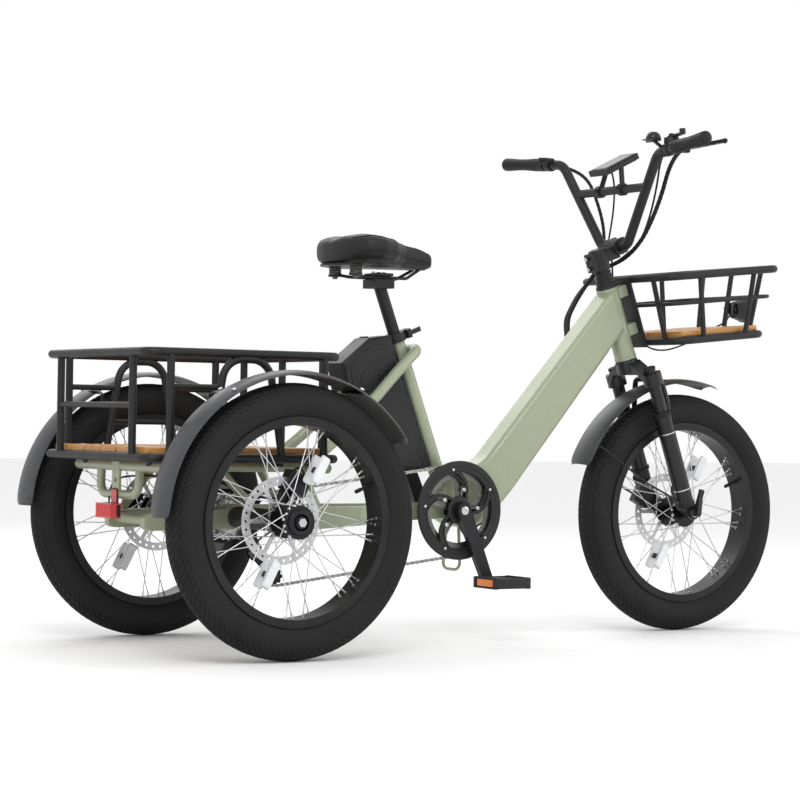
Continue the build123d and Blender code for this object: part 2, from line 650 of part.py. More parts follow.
STRAP_T = 3.0
STRAP_W = 8.0
STRAP_TURNS = (120.0, 62.0)
BASKET_FACE = BASKET_Y + RAIL_D / 2 + SEAT_GAP
with BuildPart() as rear_fenders:
    for side in (-1, 1):
        add_band(REAR_SIDE, REAR_FENDER_R, FENDER_T, 32, 146, FENDER_W, side * (WHEEL_Y + 1))
        reach = WHEEL_Y + 1 + FENDER_W / 2 - 12
        for turn in STRAP_TURNS:
            strap_middle = side * (BASKET_FACE + reach) / 2
            add_band(
                REAR_SIDE, REAR_FENDER_R - STRAP_T, STRAP_T + 0.5, turn - STRAP_W / 2, STRAP_W,
                reach - BASKET_FACE, strap_middle,
            )
            foot_r = REAR_FENDER_R - STRAP_T
            plate = Plane(
                origin=rear(
                    foot_r * cos(radians(turn)), -side * (BASKET_FACE + 2), foot_r * sin(radians(turn))
                ),
                x_dir=(1, 0, 0), z_dir=(0, -1, 0),
            )
            add_block(plate, 0, 2, 0, (40, 34, 4))
save(rear_fenders, "rear_fenders")

FRONT_FENDER_R = TYRE_D / 2 + 35.0
with BuildPart() as front_fender:
    add_band(FRONT_SIDE, FRONT_FENDER_R, FENDER_T, 72, 87, FENDER_W)
    hub_spot = front(0, 0, 0)
    outward = (arch_top - hub_spot).normalized()
    stud_top = (arch_top - hub_spot).length - ARCH_D / 2 - SEAT_GAP
    add_tube(hub_spot + outward * (FRONT_FENDER_R + 1), hub_spot + outward * stud_top, 14)
save(front_fender, "front_fender")

# ---- drive: spindle, chainring, cranks, pedals ----------------------------------------
GUARD_Y = -CHAIN_Y + CHAIN_W / 2 + 1.2
with BuildPart() as crank_spindle:
    add_ring(SIDE_AT_BB, -CRANK_Y - CRANK_T + 2, CRANK_Y + CRANK_T - 2, SPINDLE_D)
save(crank_spindle, "crank_spindle")

with BuildPart() as chainring:
    with BuildSketch(SIDE_AT_BB.offset(-CHAIN_Y - CHAINRING_T / 2)) as ring:
        Circle(CHAINRING_R - CHAIN_H / 2 - 0.5)
        Circle(CHAINRING_R - 28, mode=Mode.SUBTRACT)
        with PolarLocations(CHAINRING_R / 2 - 4, 5):
            Rectangle(CHAINRING_R - 48, 16)
        Circle(26)
        Circle(SPINDLE_D / 2 + PRESS_GAP, mode=Mode.SUBTRACT)
    extrude(ring.sketch, amount=CHAINRING_T)
    with BuildSketch(SIDE_AT_BB.offset(GUARD_Y)) as guard:
        Circle(GUARD_R)
        Circle(GUARD_R - 22, mode=Mode.SUBTRACT)
        with PolarLocations(GUARD_R / 2, 5):
            Rectangle(GUARD_R - 38, 20)
        Circle(30)
        Circle(SPINDLE_D / 2 + PRESS_GAP, mode=Mode.SUBTRACT)
    extrude(guard.sketch, amount=GUARD_T)
    add_ring(SIDE_AT_BB, -CHAIN_Y + CHAINRING_T / 2 - 0.2, GUARD_Y + 1, 50, SPINDLE_D + 2 * PRESS_GAP)
save(chainring, "chainring")


def crank_plane(side):
    """Plane at one crank arm's inner face, with x along the arm."""
    turn = radians(-90 + CRANK_TURN + (0 if side == 1 else 180))
    origin = rear(BB_X, -side * CRANK_Y, BB_RISE)
    return Plane(origin=origin, x_dir=(cos(turn), 0, sin(turn)), z_dir=(0, -side, 0))


def add_crank(side):
    """Crank arm with its eyes and pedal axle, in the part being built."""
    arm = crank_plane(side)
    with BuildSketch(arm) as blade:
        Circle(17)
        with Locations((CRANK_LENGTH, 0)):
            Circle(13)
        make_hull()
    extrude(blade.sketch, amount=CRANK_T)
    add_ring(arm, -1, CRANK_T + 1, SPINDLE_D + 2 * PRESS_GAP, mode=Mode.SUBTRACT)
    with BuildSketch(arm.offset(CRANK_T - 1.8)) as cap:
        Circle(SPINDLE_D / 2 + PRESS_GAP)
    extrude(cap.sketch, amount=1.8)
    with BuildSketch(arm.offset(CRANK_T + PRESS_GAP)) as pedal_axle:
        with Locations((CRANK_LENGTH, 0)):
            Circle(PEDAL_AXLE_D / 2)
    extrude(pedal_axle.sketch, amount=PEDAL_W)


def add_pedal(side):
    """Pedal body with its end reflectors, in the part being built."""
    arm = crank_plane(side)
    spindle = arm.from_local_coords(Vector(CRANK_LENGTH, 0, CRANK_T + PRESS_GAP + 8 + PEDAL_W / 2))
    flat = Plane(origin=spindle, x_dir=(1, 0, 0), z_dir=(0, 0, 1))
    add_block(flat, 0, 0, 0, (PEDAL_L, PEDAL_W, PEDAL_H))
    for end in (-1, 1):
        add_block(flat, end * 27, 0, 0, (26, PEDAL_W - 22, PEDAL_H + 2), mode=Mode.SUBTRACT)
        add_block(flat, end * (PEDAL_L / 2 - 2), 0, 0, (4.2, 62, 16), mode=Mode.SUBTRACT)
    axle = Plane(origin=spindle, x_dir=(1, 0, 0), z_dir=(0, -side, 0))
    bore = PEDAL_AXLE_D + 2 * RUN_GAP
    add_ring(axle, -PEDAL_W / 2 - 1, PEDAL_W / 2 - 6, bore, mode=Mode.SUBTRACT)
    for end in (-1, 1):
        add_block(flat, end * (PEDAL_L / 2 - 1.7), 0, 0, (3.4, 61.6, 15.6))


with BuildPart() as crank_right:
    add_crank(1)
save(crank_right, "crank_right")
with BuildPart() as crank_left:
    add_crank(-1)
save(crank_left, "crank_left")
with BuildPart() as pedal_right:
    add_pedal(1)
save(pedal_right, "pedal_right")
with BuildPart() as pedal_left:
    add_pedal(-1)
save(pedal_left, "pedal_left")

# ---- cassette, jockeys, derailleur, chain ---------------------------------------------
SPROCKET_T = 1.6
SPROCKET_RADII = (49.0, 45.0, 40.0, SPROCKET_R - CHAIN_H / 2 - 0.5, 29.0, 25.0)
ENGAGED = 3
STUB_D = 30.0
with BuildPart() as cassette:
    for index, radius in enumerate(SPROCKET_RADII):
        height = -CHAIN_Y + (index - ENGAGED) * SPROCKET_STEP
        add_ring(REAR_SIDE, height - SPROCKET_T / 2, height + SPROCKET_T / 2, 2 * radius)
    add_ring(REAR_SIDE, 46, 71, STUB_D + 10)
    add_ring(REAR_SIDE, 40, 80, STUB_D + 2 * RUN_GAP, mode=Mode.SUBTRACT)
save(cassette, "cassette")


def circle_runs(circles):
    """Leaving and arriving points of a belt that goes round circles (x, y, radius, turn)."""
    points = []
    for index, start in enumerate(circles):
        end = circles[(index + 1) % len(circles)]
        dx = end[0] - start[0]
        dy = end[1] - start[1]
        heading = atan2(dy, dx) - asin(
            (end[3] * end[2] - start[3] * start[2]) / (dx * dx + dy * dy) ** 0.5
        )
        pair = []
        for x, y, radius, turn in (start, end):
            pair.append((x + turn * radius * sin(heading), y - turn * radius * cos(heading)))
        points.append(pair)
    return points


def belt_face(circles, grow):
    """Sketch face inside a belt whose line is moved outward by grow."""
    moved = [(x, y, radius + turn * grow, turn) for x, y, radius, turn in circles]
    runs = circle_runs(moved)
    with BuildLine() as outline:
        for index, run in enumerate(runs):
            Line(*run)
            x, y, radius, turn = moved[(index + 1) % len(moved)]
            arrive = run[1]
            leave = runs[(index + 1) % len(runs)][0]
            start = atan2(arrive[1] - y, arrive[0] - x)
            end = atan2(leave[1] - y, leave[0] - x)
            span = (end - start) * turn % (2 * pi)
            middle = start + turn * span / 2
            ThreePointArc(arrive, (x + radius * cos(middle), y + radius * sin(middle)), leave)
    return make_face(outline.edges(), mode=Mode.PRIVATE)


BELT = (
    (BB_X, BB_RISE, CHAINRING_R, 1),
    (0.0, 0.0, SPROCKET_R, 1),
    (UPPER_JOCKEY[0], UPPER_JOCKEY[1], JOCKEY_R, -1),
    (LOWER_JOCKEY[0], LOWER_JOCKEY[1], JOCKEY_R, 1),
)
chain_outside = belt_face(BELT, CHAIN_H / 2)
chain_inside = belt_face(BELT, -CHAIN_H / 2)
with BuildPart() as chain:
    with BuildSketch(REAR_SIDE.offset(-CHAIN_Y - CHAIN_W / 2)):
        add(chain_outside)
        add(chain_inside, mode=Mode.SUBTRACT)
    extrude(amount=CHAIN_W)
save(chain, "chain")

JOCKEY_T = 2.4
for name, spot in (("jockey_upper", UPPER_JOCKEY), ("jockey_lower", LOWER_JOCKEY)):
    with BuildPart() as jockey:
        jockey_plane = Plane(origin=rear(spot[0], CHAIN_Y, spot[1]), x_dir=(1, 0, 0), z_dir=(0, -1, 0))
        add_ring(
            jockey_plane, -JOCKEY_T / 2, JOCKEY_T / 2, 2 * (JOCKEY_R - CHAIN_H / 2 - 0.5),
            JOCKEY_BOLT_D + 2 * RUN_GAP,
        )
    save(jockey, name)

CAGE_T = 1.6
CAGE_GAP = CHAIN_W / 2 + 0.9
with BuildPart() as rear_derailleur:
    for side in (-1, 1):
        low = -CHAIN_Y + (CAGE_GAP if side == 1 else -CAGE_GAP - CAGE_T)
        with BuildSketch(REAR_SIDE.offset(low)) as cage:
            with Locations(UPPER_JOCKEY, LOWER_JOCKEY):
                Circle(9)
            make_hull()
        extrude(cage.sketch, amount=CAGE_T)
    for x, h in (UPPER_JOCKEY, LOWER_JOCKEY):
        bolt = Plane(origin=rear(x, CHAIN_Y, h), x_dir=(1, 0, 0), z_dir=(0, -1, 0))
        add_ring(bolt, -CAGE_GAP - 1, CAGE_GAP + 1, JOCKEY_BOLT_D)
    body_low = -CHAIN_Y + CAGE_GAP + CAGE_T - 0.3
    with BuildSketch(REAR_SIDE.offset(body_low)) as knuckle:
        with Locations(UPPER_JOCKEY):
            Circle(12)
        with Locations((40, -40)):
            Circle(11)
        make_hull()
    extrude(knuckle.sketch, amount=16)
    hanger_low = BEAM_Y - BEAM_T / 2
    with BuildSketch(REAR_SIDE.offset(hanger_low)) as hanger:
        with Locations((40, -40)):
            Circle(11)
        with Locations((40, -33)):
            Rectangle(22, 15)
    extrude(hanger.sketch, amount=12)
save(rear_derailleur, "rear_derailleur")

# ---- stem and headset cover ------------------------------------------------------------
COVER_TOP = HEAD_TUBE_LENGTH + 46.0
STEM_LOW = COVER_TOP + SEAT_GAP
STEM_HIGH = STEERER_TOP + 3.0
STEM_D = 42.0
CLAMP_W = 44.0
BAR_CLAMP_D = BAR_D + 15.0

with BuildPart() as stem:
    with BuildSketch(HEAD.offset(HEAD_TUBE_LENGTH + CUP_T + SEAT_GAP)) as cover:
        Circle(HEAD_TUBE_D / 2 - 2)
    extrude(cover.sketch, amount=COVER_TOP - HEAD_TUBE_LENGTH - CUP_T - SEAT_GAP, taper=9)
    add_ring(HEAD, STEM_LOW, STEM_HIGH, STEM_D)
    clamp = Plane(origin=on(HEAD, BAR_CLAMP_X, 0, BAR_CLAMP_Z), x_dir=(1, 0, 0), z_dir=(0, -1, 0))
    add_ring(clamp, -CLAMP_W / 2, CLAMP_W / 2, BAR_CLAMP_D)
    middle_x = BAR_CLAMP_X / 2
    height = BAR_CLAMP_Z - STEM_LOW - 6
    add_block(HEAD, middle_x, 0, BAR_CLAMP_Z - height / 2 + 8, (BAR_CLAMP_X - 8, 34, height - 4))
    add_block(HEAD, -STEM_D / 2 - 3, 0, (STEM_LOW + STEM_HIGH) / 2, (14, 26, STEM_HIGH - STEM_LOW - 4))
    add_ring(HEAD, HEAD_TUBE_LENGTH, STEERER_TOP + PRESS_GAP, STEERER_D + 2 * PRESS_GAP, mode=Mode.SUBTRACT)
    add_ring(clamp, -CLAMP_W, CLAMP_W, BAR_D + 2 * PRESS_GAP, mode=Mode.SUBTRACT)
    for bolt_z in (STEM_LOW + 12, STEM_HIGH - 12):
        add_tube(
            on(HEAD, -STEM_D / 2 - 10 - SEAT_GAP, 0, bolt_z), on(HEAD, -STEM_D / 2 - 15, 0, bolt_z), 9
        )
save(stem, "stem")

# ---- handlebar, grips, controls ----------------------------------------------------------
BAR_LOW_Y = 47.0
BAR_HIGH = (-20.0, 184.0, 205.0)
BAR_END = (-46.0, BAR_END_Y - 3.0, 220.0)
CROSSBAR_RISE = 131.0

with BuildPart() as handlebar:
    left_half = [(0, BAR_LOW_Y, 0), BAR_HIGH, BAR_END]
    route = [on(BAR, x, -y, z) for x, y, z in reversed(left_half)]
    route += [on(BAR, x, y, z) for x, y, z in left_half]
    add_bent_tube(route, [42, 30, 30, 42], BAR_D)
    share = CROSSBAR_RISE / BAR_HIGH[2]
    cross_x = BAR_HIGH[0] * share
    cross_y = BAR_LOW_Y + (BAR_HIGH[1] - BAR_LOW_Y) * share
    add_tube(on(BAR, cross_x, -cross_y, CROSSBAR_RISE), on(BAR, cross_x, cross_y, CROSSBAR_RISE), CROSSBAR_D)
save(handlebar, "handlebar")


def bar_plane(side, y):
    """Plane on the bar's outer run at a distance y from the middle, x forward, z outward."""
    share = (y - BAR_HIGH[1]) / (BAR_END[1] - BAR_HIGH[1])
    spot = [low + (high - low) * share for low, high in zip(BAR_HIGH, BAR_END)]
    run = Vector(BAR_END[0] - BAR_HIGH[0], side * (BAR_END[1] - BAR_HIGH[1]), BAR_END[2] - BAR_HIGH[2])
    run = run.normalized()
    ahead = (Vector(1, 0, 0) - run * run.X).normalized()
    return Plane(origin=on(BAR, spot[0], side * spot[1], spot[2]), x_dir=ahead, z_dir=run)


with BuildPart() as grips:
    for side in (-1, 1):
        end = bar_plane(side, BAR_END[1])
        add_ring(end, -GRIP_L, 3, GRIP_D, BAR_D + 2 * PRESS_GAP)
        add_ring(end, 2, 3, GRIP_D)
save(grips, "grips")

PERCH_Y = 253.0
SHIFTER_Y = 233.0
PAD_Y = 232.0
BELL_Y = 214.0
PIVOT_X = 31.0
PIN_D = 5.0
LEVER_T = 8.0
SHIFTER_TOP = 26.0
BELL_X = -30.0
BELL_RISE = 24.0
STRIKER_Z = -24.0


def lift(side):
    """Sign of the local y that points up on a bar plane."""
    return -side


with BuildPart() as bar_controls:
    for side in (-1, 1):
        perch = bar_plane(side, PERCH_Y)
        add_block(perch, 24, 0, 0, (28, 20, 13))
        add_ring(perch, -7, 7, 31)
        add_block(perch, 31.5, 0, 2, (16, LEVER_T + 0.8, 20), mode=Mode.SUBTRACT)
        add_tube(on(perch, PIVOT_X, -8, 0), on(perch, PIVOT_X, 8, 0), PIN_D)
    up = lift(-1)
    shifter = bar_plane(-1, SHIFTER_Y)
    add_ring(shifter, -9, 9, 32)
    add_tube(on(shifter, 6, up * 10, 0), on(shifter, 6, up * SHIFTER_TOP, 0), 34)
    add_tube(on(shifter, 6, up * SHIFTER_TOP, 0), on(shifter, 6, up * (SHIFTER_TOP + 7), 0), 6)
    bell = bar_plane(-1, BELL_Y)
    add_ring(bell, -5, 5, 29)
    add_tube(on(bell, -10, up * 8, 0), on(bell, BELL_X, up * (BELL_RISE - 2), 0), 8)
    base_plane = Plane(
        origin=on(bell, BELL_X, up * (BELL_RISE - 3), 0), x_dir=tuple(bell.x_dir),
        z_dir=tuple(bell.y_dir * up),
    )
    lug = base_plane.to_local_coords(on(bell, BELL_X, up * (BELL_RISE - 3), STRIKER_Z))
    with BuildSketch(base_plane) as bell_base:
        Circle(18)
        with Locations((0, lug.Y)):
            Circle(5)
        make_hull()
    extrude(bell_base.sketch, amount=3)
    pin_foot = on(bell, BELL_X, up * BELL_RISE, STRIKER_Z)
    add_tube(pin_foot, on(bell, BELL_X, up * (BELL_RISE + 4), STRIKER_Z), 4)
    with BuildSketch(base_plane.offset(2.5)) as dome:
        Circle(17)
    extrude(dome.sketch, amount=16, taper=24)
    pad = bar_plane(1, PAD_Y)
    add_ring(pad, -9, 9, 31)
    add_block(pad, -14, lift(1) * 8, -2, (26, 16, 26))
    for side in (-1, 1):
        add_ring(bar_plane(side, PERCH_Y), -8, 8, BAR_D + 2 * PRESS_GAP, mode=Mode.SUBTRACT)
    for side, y in ((-1, SHIFTER_Y), (-1, BELL_Y), (1, PAD_Y)):
        add_ring(bar_plane(side, y), -18, 18, BAR_D + 2 * PRESS_GAP, mode=Mode.SUBTRACT)
save(bar_controls, "bar_controls")

LEVER_TIP = (63.0, 112.0)
for name, side in (("right", -1), ("left", 1)):
    perch = bar_plane(side, PERCH_Y)
    with BuildPart() as lever:
        blade_plane = Plane(origin=perch.origin, x_dir=tuple(perch.x_dir), z_dir=tuple(perch.y_dir))
        with BuildSketch(blade_plane) as blade:
            with Locations((PIVOT_X, 0)):
                Circle(6.5)
            with Locations((LEVER_TIP[0], -LEVER_TIP[1])):
                Circle(5)
            make_hull()
            with Locations((PIVOT_X, 0)):
                Circle(PIN_D / 2 + RUN_GAP, mode=Mode.SUBTRACT)
        extrude(blade.sketch, amount=LEVER_T / 2, both=True)
    save(lever, "brake_lever_" + name)

with BuildPart() as shifter_paddle:
    shifter = bar_plane(-1, SHIFTER_Y)
    up = lift(-1)
    paddle_plane = Plane(
        origin=on(shifter, 6, up * (SHIFTER_TOP + SEAT_GAP), 0),
        x_dir=tuple(shifter.z_dir), z_dir=tuple(shifter.y_dir * up),
    )
    with BuildSketch(paddle_plane) as paddle:
        Circle(9)
        with Locations((50, 0)):
            Circle(6)
        make_hull()
        Circle(3 + RUN_GAP, mode=Mode.SUBTRACT)
    extrude(paddle.sketch, amount=4)
    with BuildSketch(paddle_plane.offset(3.5)) as knob:
        with Locations((48, 0)):
            Circle(7)
    extrude(knob.sketch, amount=9)
save(shifter_paddle, "shifter_paddle")

with BuildPart() as bell_striker:
    bell = bar_plane(-1, BELL_Y)
    striker_plane = Plane(
        origin=on(bell, BELL_X, up * (BELL_RISE + SEAT_GAP), STRIKER_Z),
        x_dir=tuple(bell.x_dir), z_dir=tuple(bell.y_dir * up),
    )
    with BuildSketch(striker_plane) as striker:
        Circle(4)
        with Locations((-15, 0)):
            Circle(3)
        make_hull()
        Circle(2 + RUN_GAP, mode=Mode.SUBTRACT)
    extrude(striker.sketch, amount=3)
save(bell_striker, "bell_striker")

# ---- display on its two brackets ----------------------------------------------------------
DISPLAY_TILT = 26.0
DISPLAY_RISE = 61.0
with BuildPart() as display:
    crossbar = on(BAR, cross_x, 0, CROSSBAR_RISE)
    screen = tilted(crossbar + Vector(6, 0, DISPLAY_RISE), DISPLAY_TILT)
    under = 7 + SEAT_GAP
    for side in (-1, 1):
        ring_spot = crossbar + Vector(0, side * 43, 0)
        across = Plane(origin=ring_spot, x_dir=(1, 0, 0), z_dir=(0, -1, 0))
        add_ring(across, -7, 7, CROSSBAR_D + 9)
        add_tube(ring_spot, on(screen, 0, side * 26, -under + 4), 12)
        add_ring(across, -12, 12, CROSSBAR_D + 2 * PRESS_GAP, mode=Mode.SUBTRACT)
    add_block(screen, 0, 0, -under + 20, (140, 90, 40), mode=Mode.SUBTRACT)
    add_block(screen, 0, 0, 0, (104, 66, 14))
save(display, "display")

# ---- seat clamp, post, saddle ---------------------------------------------------------------
COLLAR_LOW = SEAT_TUBE_LENGTH - 14.0
COLLAR_HIGH = SEAT_TUBE_LENGTH + 6.0
COLLAR_D = SEAT_TUBE_D + 11.0
CLAMP_PIVOT = (COLLAR_D / 2 + 5.0, -14.4)
SLOT_LOW = COLLAR_LOW + 4.5
SLOT_HIGH = COLLAR_HIGH - 4.5

with BuildPart() as seat_clamp:
    add_ring(SEAT, COLLAR_LOW, COLLAR_HIGH, COLLAR_D)
    middle = (COLLAR_LOW + COLLAR_HIGH) / 2
    height = COLLAR_HIGH - COLLAR_LOW
    add_block(SEAT, COLLAR_D / 2 + 4, 0, middle, (16, 18, height))
    add_block(SEAT, CLAMP_PIVOT[0], -13, middle, (11, 12, height))
    add_block(
        SEAT, CLAMP_PIVOT[0], -15.4, middle, (14, 12.2, SLOT_HIGH - SLOT_LOW), mode=Mode.SUBTRACT
    )
    add_ring(
        SEAT.shift_origin(on(SEAT, CLAMP_PIVOT[0], CLAMP_PIVOT[1], 0)), SLOT_LOW - 1, SLOT_HIGH + 1, 4
    )
    add_ring(SEAT, COLLAR_LOW - 1, SEAT_TUBE_LENGTH + 0.2, SEAT_TUBE_D + 2 * PRESS_GAP, mode=Mode.SUBTRACT)
    add_ring(SEAT, COLLAR_LOW, COLLAR_HIGH + 1, SEAT_POST_D + 2 * PRESS_GAP, mode=Mode.SUBTRACT)
save(seat_clamp, "seat_clamp")

with BuildPart() as seat_clamp_lever:
    pivot_plane = SEAT.shift_origin(on(SEAT, CLAMP_PIVOT[0], CLAMP_PIVOT[1], 0))
    with BuildSketch(pivot_plane.offset(SLOT_LOW + SEAT_GAP)) as lever:
        Circle(3.8)
        with Locations((30, 2)):
            Circle(4)
        make_hull()
        Circle(2 + RUN_GAP, mode=Mode.SUBTRACT)
    extrude(lever.sketch, amount=SLOT_HIGH - SLOT_LOW - 2 * SEAT_GAP)
save(seat_clamp_lever, "seat_clamp_lever")

POST_LOW = 200.0
POST_TOP = 535.0
RAIL_RISE = 11.5
SADDLE_RAIL_D = 7.0
SADDLE_RAIL_Y = 22.0
PAN_RISE = 33.0
SADDLE = tilted(on(SEAT, 0, 0, POST_TOP), 0)

with BuildPart() as seat_post:
    add_ring(SEAT, POST_LOW, POST_TOP - 4, SEAT_POST_D)
    cradle_top = RAIL_RISE - SADDLE_RAIL_D / 2 - SEAT_GAP
    cap_low = RAIL_RISE + SADDLE_RAIL_D / 2 + SEAT_GAP
    add_block(SADDLE, 0, 0, (cradle_top - 12) / 2, (46, 2 * SADDLE_RAIL_Y + 14, cradle_top + 12))
    add_block(SADDLE, 0, 0, cap_low + 3, (40, 2 * SADDLE_RAIL_Y + 14, 6))
    add_tube(on(SADDLE, 0, 0, 0), on(SADDLE, 0, 0, cap_low + 9), 10)
save(seat_post, "seat_post")

with BuildPart() as saddle_rails:
    for side in (-1, 1):
        rail = [
            on(SADDLE, -92, side * 44, 18), on(SADDLE, -62, side * SADDLE_RAIL_Y, RAIL_RISE),
            on(SADDLE, 58, side * SADDLE_RAIL_Y, RAIL_RISE), on(SADDLE, 98, side * 13, PAN_RISE + 1),
        ]
        add_bent_tube(rail, 18, SADDLE_RAIL_D)
        foot = Plane(origin=on(SADDLE, -86, side * 44, 0))
        add_ring(foot, 12, 17, 30)
        for coil in range(3):
            add_ring(foot, 17.3 + coil * 5, 21.8 + coil * 5, 26)
    with BuildSketch(SADDLE.offset(PAN_RISE)) as pan:
        with Locations((-60, 0)):
            Circle(78)
        with Locations((104, 0)):
            Circle(13)
        make_hull()
    extrude(pan.sketch, amount=4)
save(saddle_rails, "saddle_rails")

SADDLE_BACK = 130.0
SADDLE_NOSE = 133.0
SADDLE_HALF_W = 125.0
SADDLE_TOP = 102.0
with BuildPart() as saddle:
    with BuildSketch(SADDLE.offset(PAN_RISE + 4 + SEAT_GAP)) as outline:
        with BuildLine():
            right = Spline(
                (-SADDLE_BACK, 0), (-SADDLE_BACK + 22, -86), (-60, -SADDLE_HALF_W), (-5, -98),
                (42, -44), (92, -29), (SADDLE_NOSE, 0),
                tangents=((0, -1), (0, 1)),
            )
            mirror(right, about=Plane.XZ)
        make_face()
    extrude(outline.sketch, amount=SADDLE_TOP)
    with BuildSketch(Plane(origin=SADDLE.origin, x_dir=(1, 0, 0), z_dir=(0, -1, 0))) as profile:
        with BuildLine():
            crown = Spline(
                (-SADDLE_BACK - 1, 84), (-88, SADDLE_TOP), (0, 88), (70, 78), (SADDLE_NOSE + 1, 66)
            )
            Polyline(crown @ 1, (SADDLE_NOSE + 1, 30), (-SADDLE_BACK - 1, 30), crown @ 0)
        make_face()
    extrude(profile.sketch, amount=SADDLE_HALF_W + 10, both=True, mode=Mode.INTERSECT)
save(saddle, "saddle")

# ---- battery and its dock on the back of the seat tube ---------------------------------------
TUBE_BACK = -SEAT_TUBE_D / 2
SEAT_SIDE = Plane(origin=SEAT.origin, x_dir=tuple(SEAT.x_dir), z_dir=(0, -1, 0))
DOCK_Y = 18.0
DOCK_LOW = 112.0
DOCK_HIGH = 392.0
with BuildPart() as battery_dock:
    with BuildSketch(SEAT_SIDE) as dock:
        Polygon(
            (TUBE_BACK - SEAT_GAP, DOCK_LOW), (TUBE_BACK - SEAT_GAP, DOCK_HIGH),
            (TUBE_BACK - 11, DOCK_HIGH), (TUBE_BACK - 34, DOCK_LOW), align=None,
        )
    extrude(dock.sketch, amount=DOCK_Y, both=True)
save(battery_dock, "battery_dock")

with BuildPart() as battery_case:
    with BuildSketch(SEAT_SIDE) as case:
        Polygon(
            (TUBE_BACK - 34 - SEAT_GAP, DOCK_LOW + 3), (TUBE_BACK - 11 - SEAT_GAP, DOCK_HIGH + 2),
            (TUBE_BACK - 9, 422), (TUBE_BACK - 64, 435), (TUBE_BACK - 150, 407),
            (TUBE_BACK - 164, 327), (TUBE_BACK - 110, 146), align=None,
        )
    extrude(case.sketch, amount=BATTERY_Y, both=True)
    chamfer(battery_case.faces().sort_by(Axis.Y)[-1].edges(), length=7)
    chamfer(battery_case.faces().sort_by(Axis.Y)[0].edges(), length=7)
save(battery_case, "battery_case")

# ---- rear basket ------------------------------------------------------------------------------
ARCH_X = -62.0
SIDE_POSTS = (-235.0, 120.0)
SUPPORTS = (PLATFORM_BACK, 60.0)
MID_H = 268.0
JOINT_GAP = 0.4

with BuildPart() as rear_basket:
    for h in (BASKET_LOW, BASKET_HIGH):
        loop = [
            rear(BASKET_BACK, -BASKET_Y, h), rear(BASKET_FRONT, -BASKET_Y, h),
            rear(BASKET_FRONT, BASKET_Y, h), rear(BASKET_BACK, BASKET_Y, h),
        ]
        add_bent_tube(loop, 26, RAIL_D, close=True)
    for x, posts in ((BASKET_BACK, (-172.0, 172.0)), (BASKET_FRONT, (-172.0, 0.0, 172.0))):
        for y in posts:
            add_tube(rear(x, y, BASKET_LOW), rear(x, y, BASKET_HIGH), POST_D)
        add_tube(rear(x, -172, 230), rear(x, 172, 230), POST_D - 4)
    for side in (-1, 1):
        y = side * BASKET_Y
        for x in SIDE_POSTS:
            add_tube(rear(x, y, BASKET_LOW), rear(x, y, BASKET_HIGH), POST_D)
        arch = [
            rear(ARCH_X - 84, y, BASKET_LOW), rear(ARCH_X - 50, y, MID_H + 58),
            rear(ARCH_X + 50, y, MID_H + 58), rear(ARCH_X + 84, y, BASKET_LOW),
        ]
        add_bent_tube(arch, 46, POST_D)
        add_tube(rear(SIDE_POSTS[0], y, MID_H), rear(ARCH_X - 60, y, MID_H), POST_D - 4)
        add_tube(rear(ARCH_X + 60, y, MID_H), rear(SIDE_POSTS[1], y, MID_H), POST_D - 4)
        add_tube(rear(ARCH_X - 72, y, 195), rear(ARCH_X + 72, y, 195), POST_D - 4)
    for x in SUPPORTS:
        add_tube(rear(x, -BASKET_Y, BASKET_LOW), rear(x, BASKET_Y, BASKET_LOW), RAIL_D)
    # Hairline joints make each wall a flat frame, with the corner bends and the cross rails apart.
    middle = (BASKET_LOW + BASKET_HIGH) / 2
    for side in (-1, 1):
        for x, inward in ((BASKET_BACK, 1), (BASKET_FRONT, -1)):
            with Locations(rear(x + inward * 27, side * BASKET_Y, middle)):
                Box(JOINT_GAP, 40, 300, mode=Mode.SUBTRACT)
            with Locations(rear(x, side * (BASKET_Y - 27), middle)):
                Box(40, JOINT_GAP, 300, mode=Mode.SUBTRACT)
            corner = rear(x + inward * 12, side * (BASKET_Y - 12), middle)
            with Locations(Location(corner, (0, 0, 45 * inward * side))):
                Box(JOINT_GAP, 44, 300, mode=Mode.SUBTRACT)
        for x in SUPPORTS:
            with Locations(rear(x, side * (BASKET_Y - RAIL_D / 2 - 1.5), BASKET_LOW)):
                Box(RAIL_D + 2, JOINT_GAP, RAIL_D + 2, mode=Mode.SUBTRACT)
save(rear_basket, "rear_basket")

# ---- front basket with its mounting plate -----------------------------------------------------
PLATE_T = 5.0
PLATE_X = BOSS_FACE + SEAT_GAP
FRONT_RAIL_X = PLATE_X + PLATE_T + SEAT_GAP + RAIL_D / 2
FRONT_TOP_Y = 175.0
FRONT_LOW_Y = 152.0
FRONT_POST_D = 12.0


def basket_point(along, y_share, up):
    """Point of the front basket's shell: along 0..1 forward, y_share -1..1, up 0..1."""
    half = FRONT_LOW_Y + (FRONT_TOP_Y - FRONT_LOW_Y) * up
    back = on(HEAD, FRONT_RAIL_X, 0, 21 + 154 * up)
    ahead = front(135 + 25 * up, 0, 427 + 154 * up)
    spot = back + (ahead - back) * along
    return Vector(spot.X, half * y_share, spot.Z)


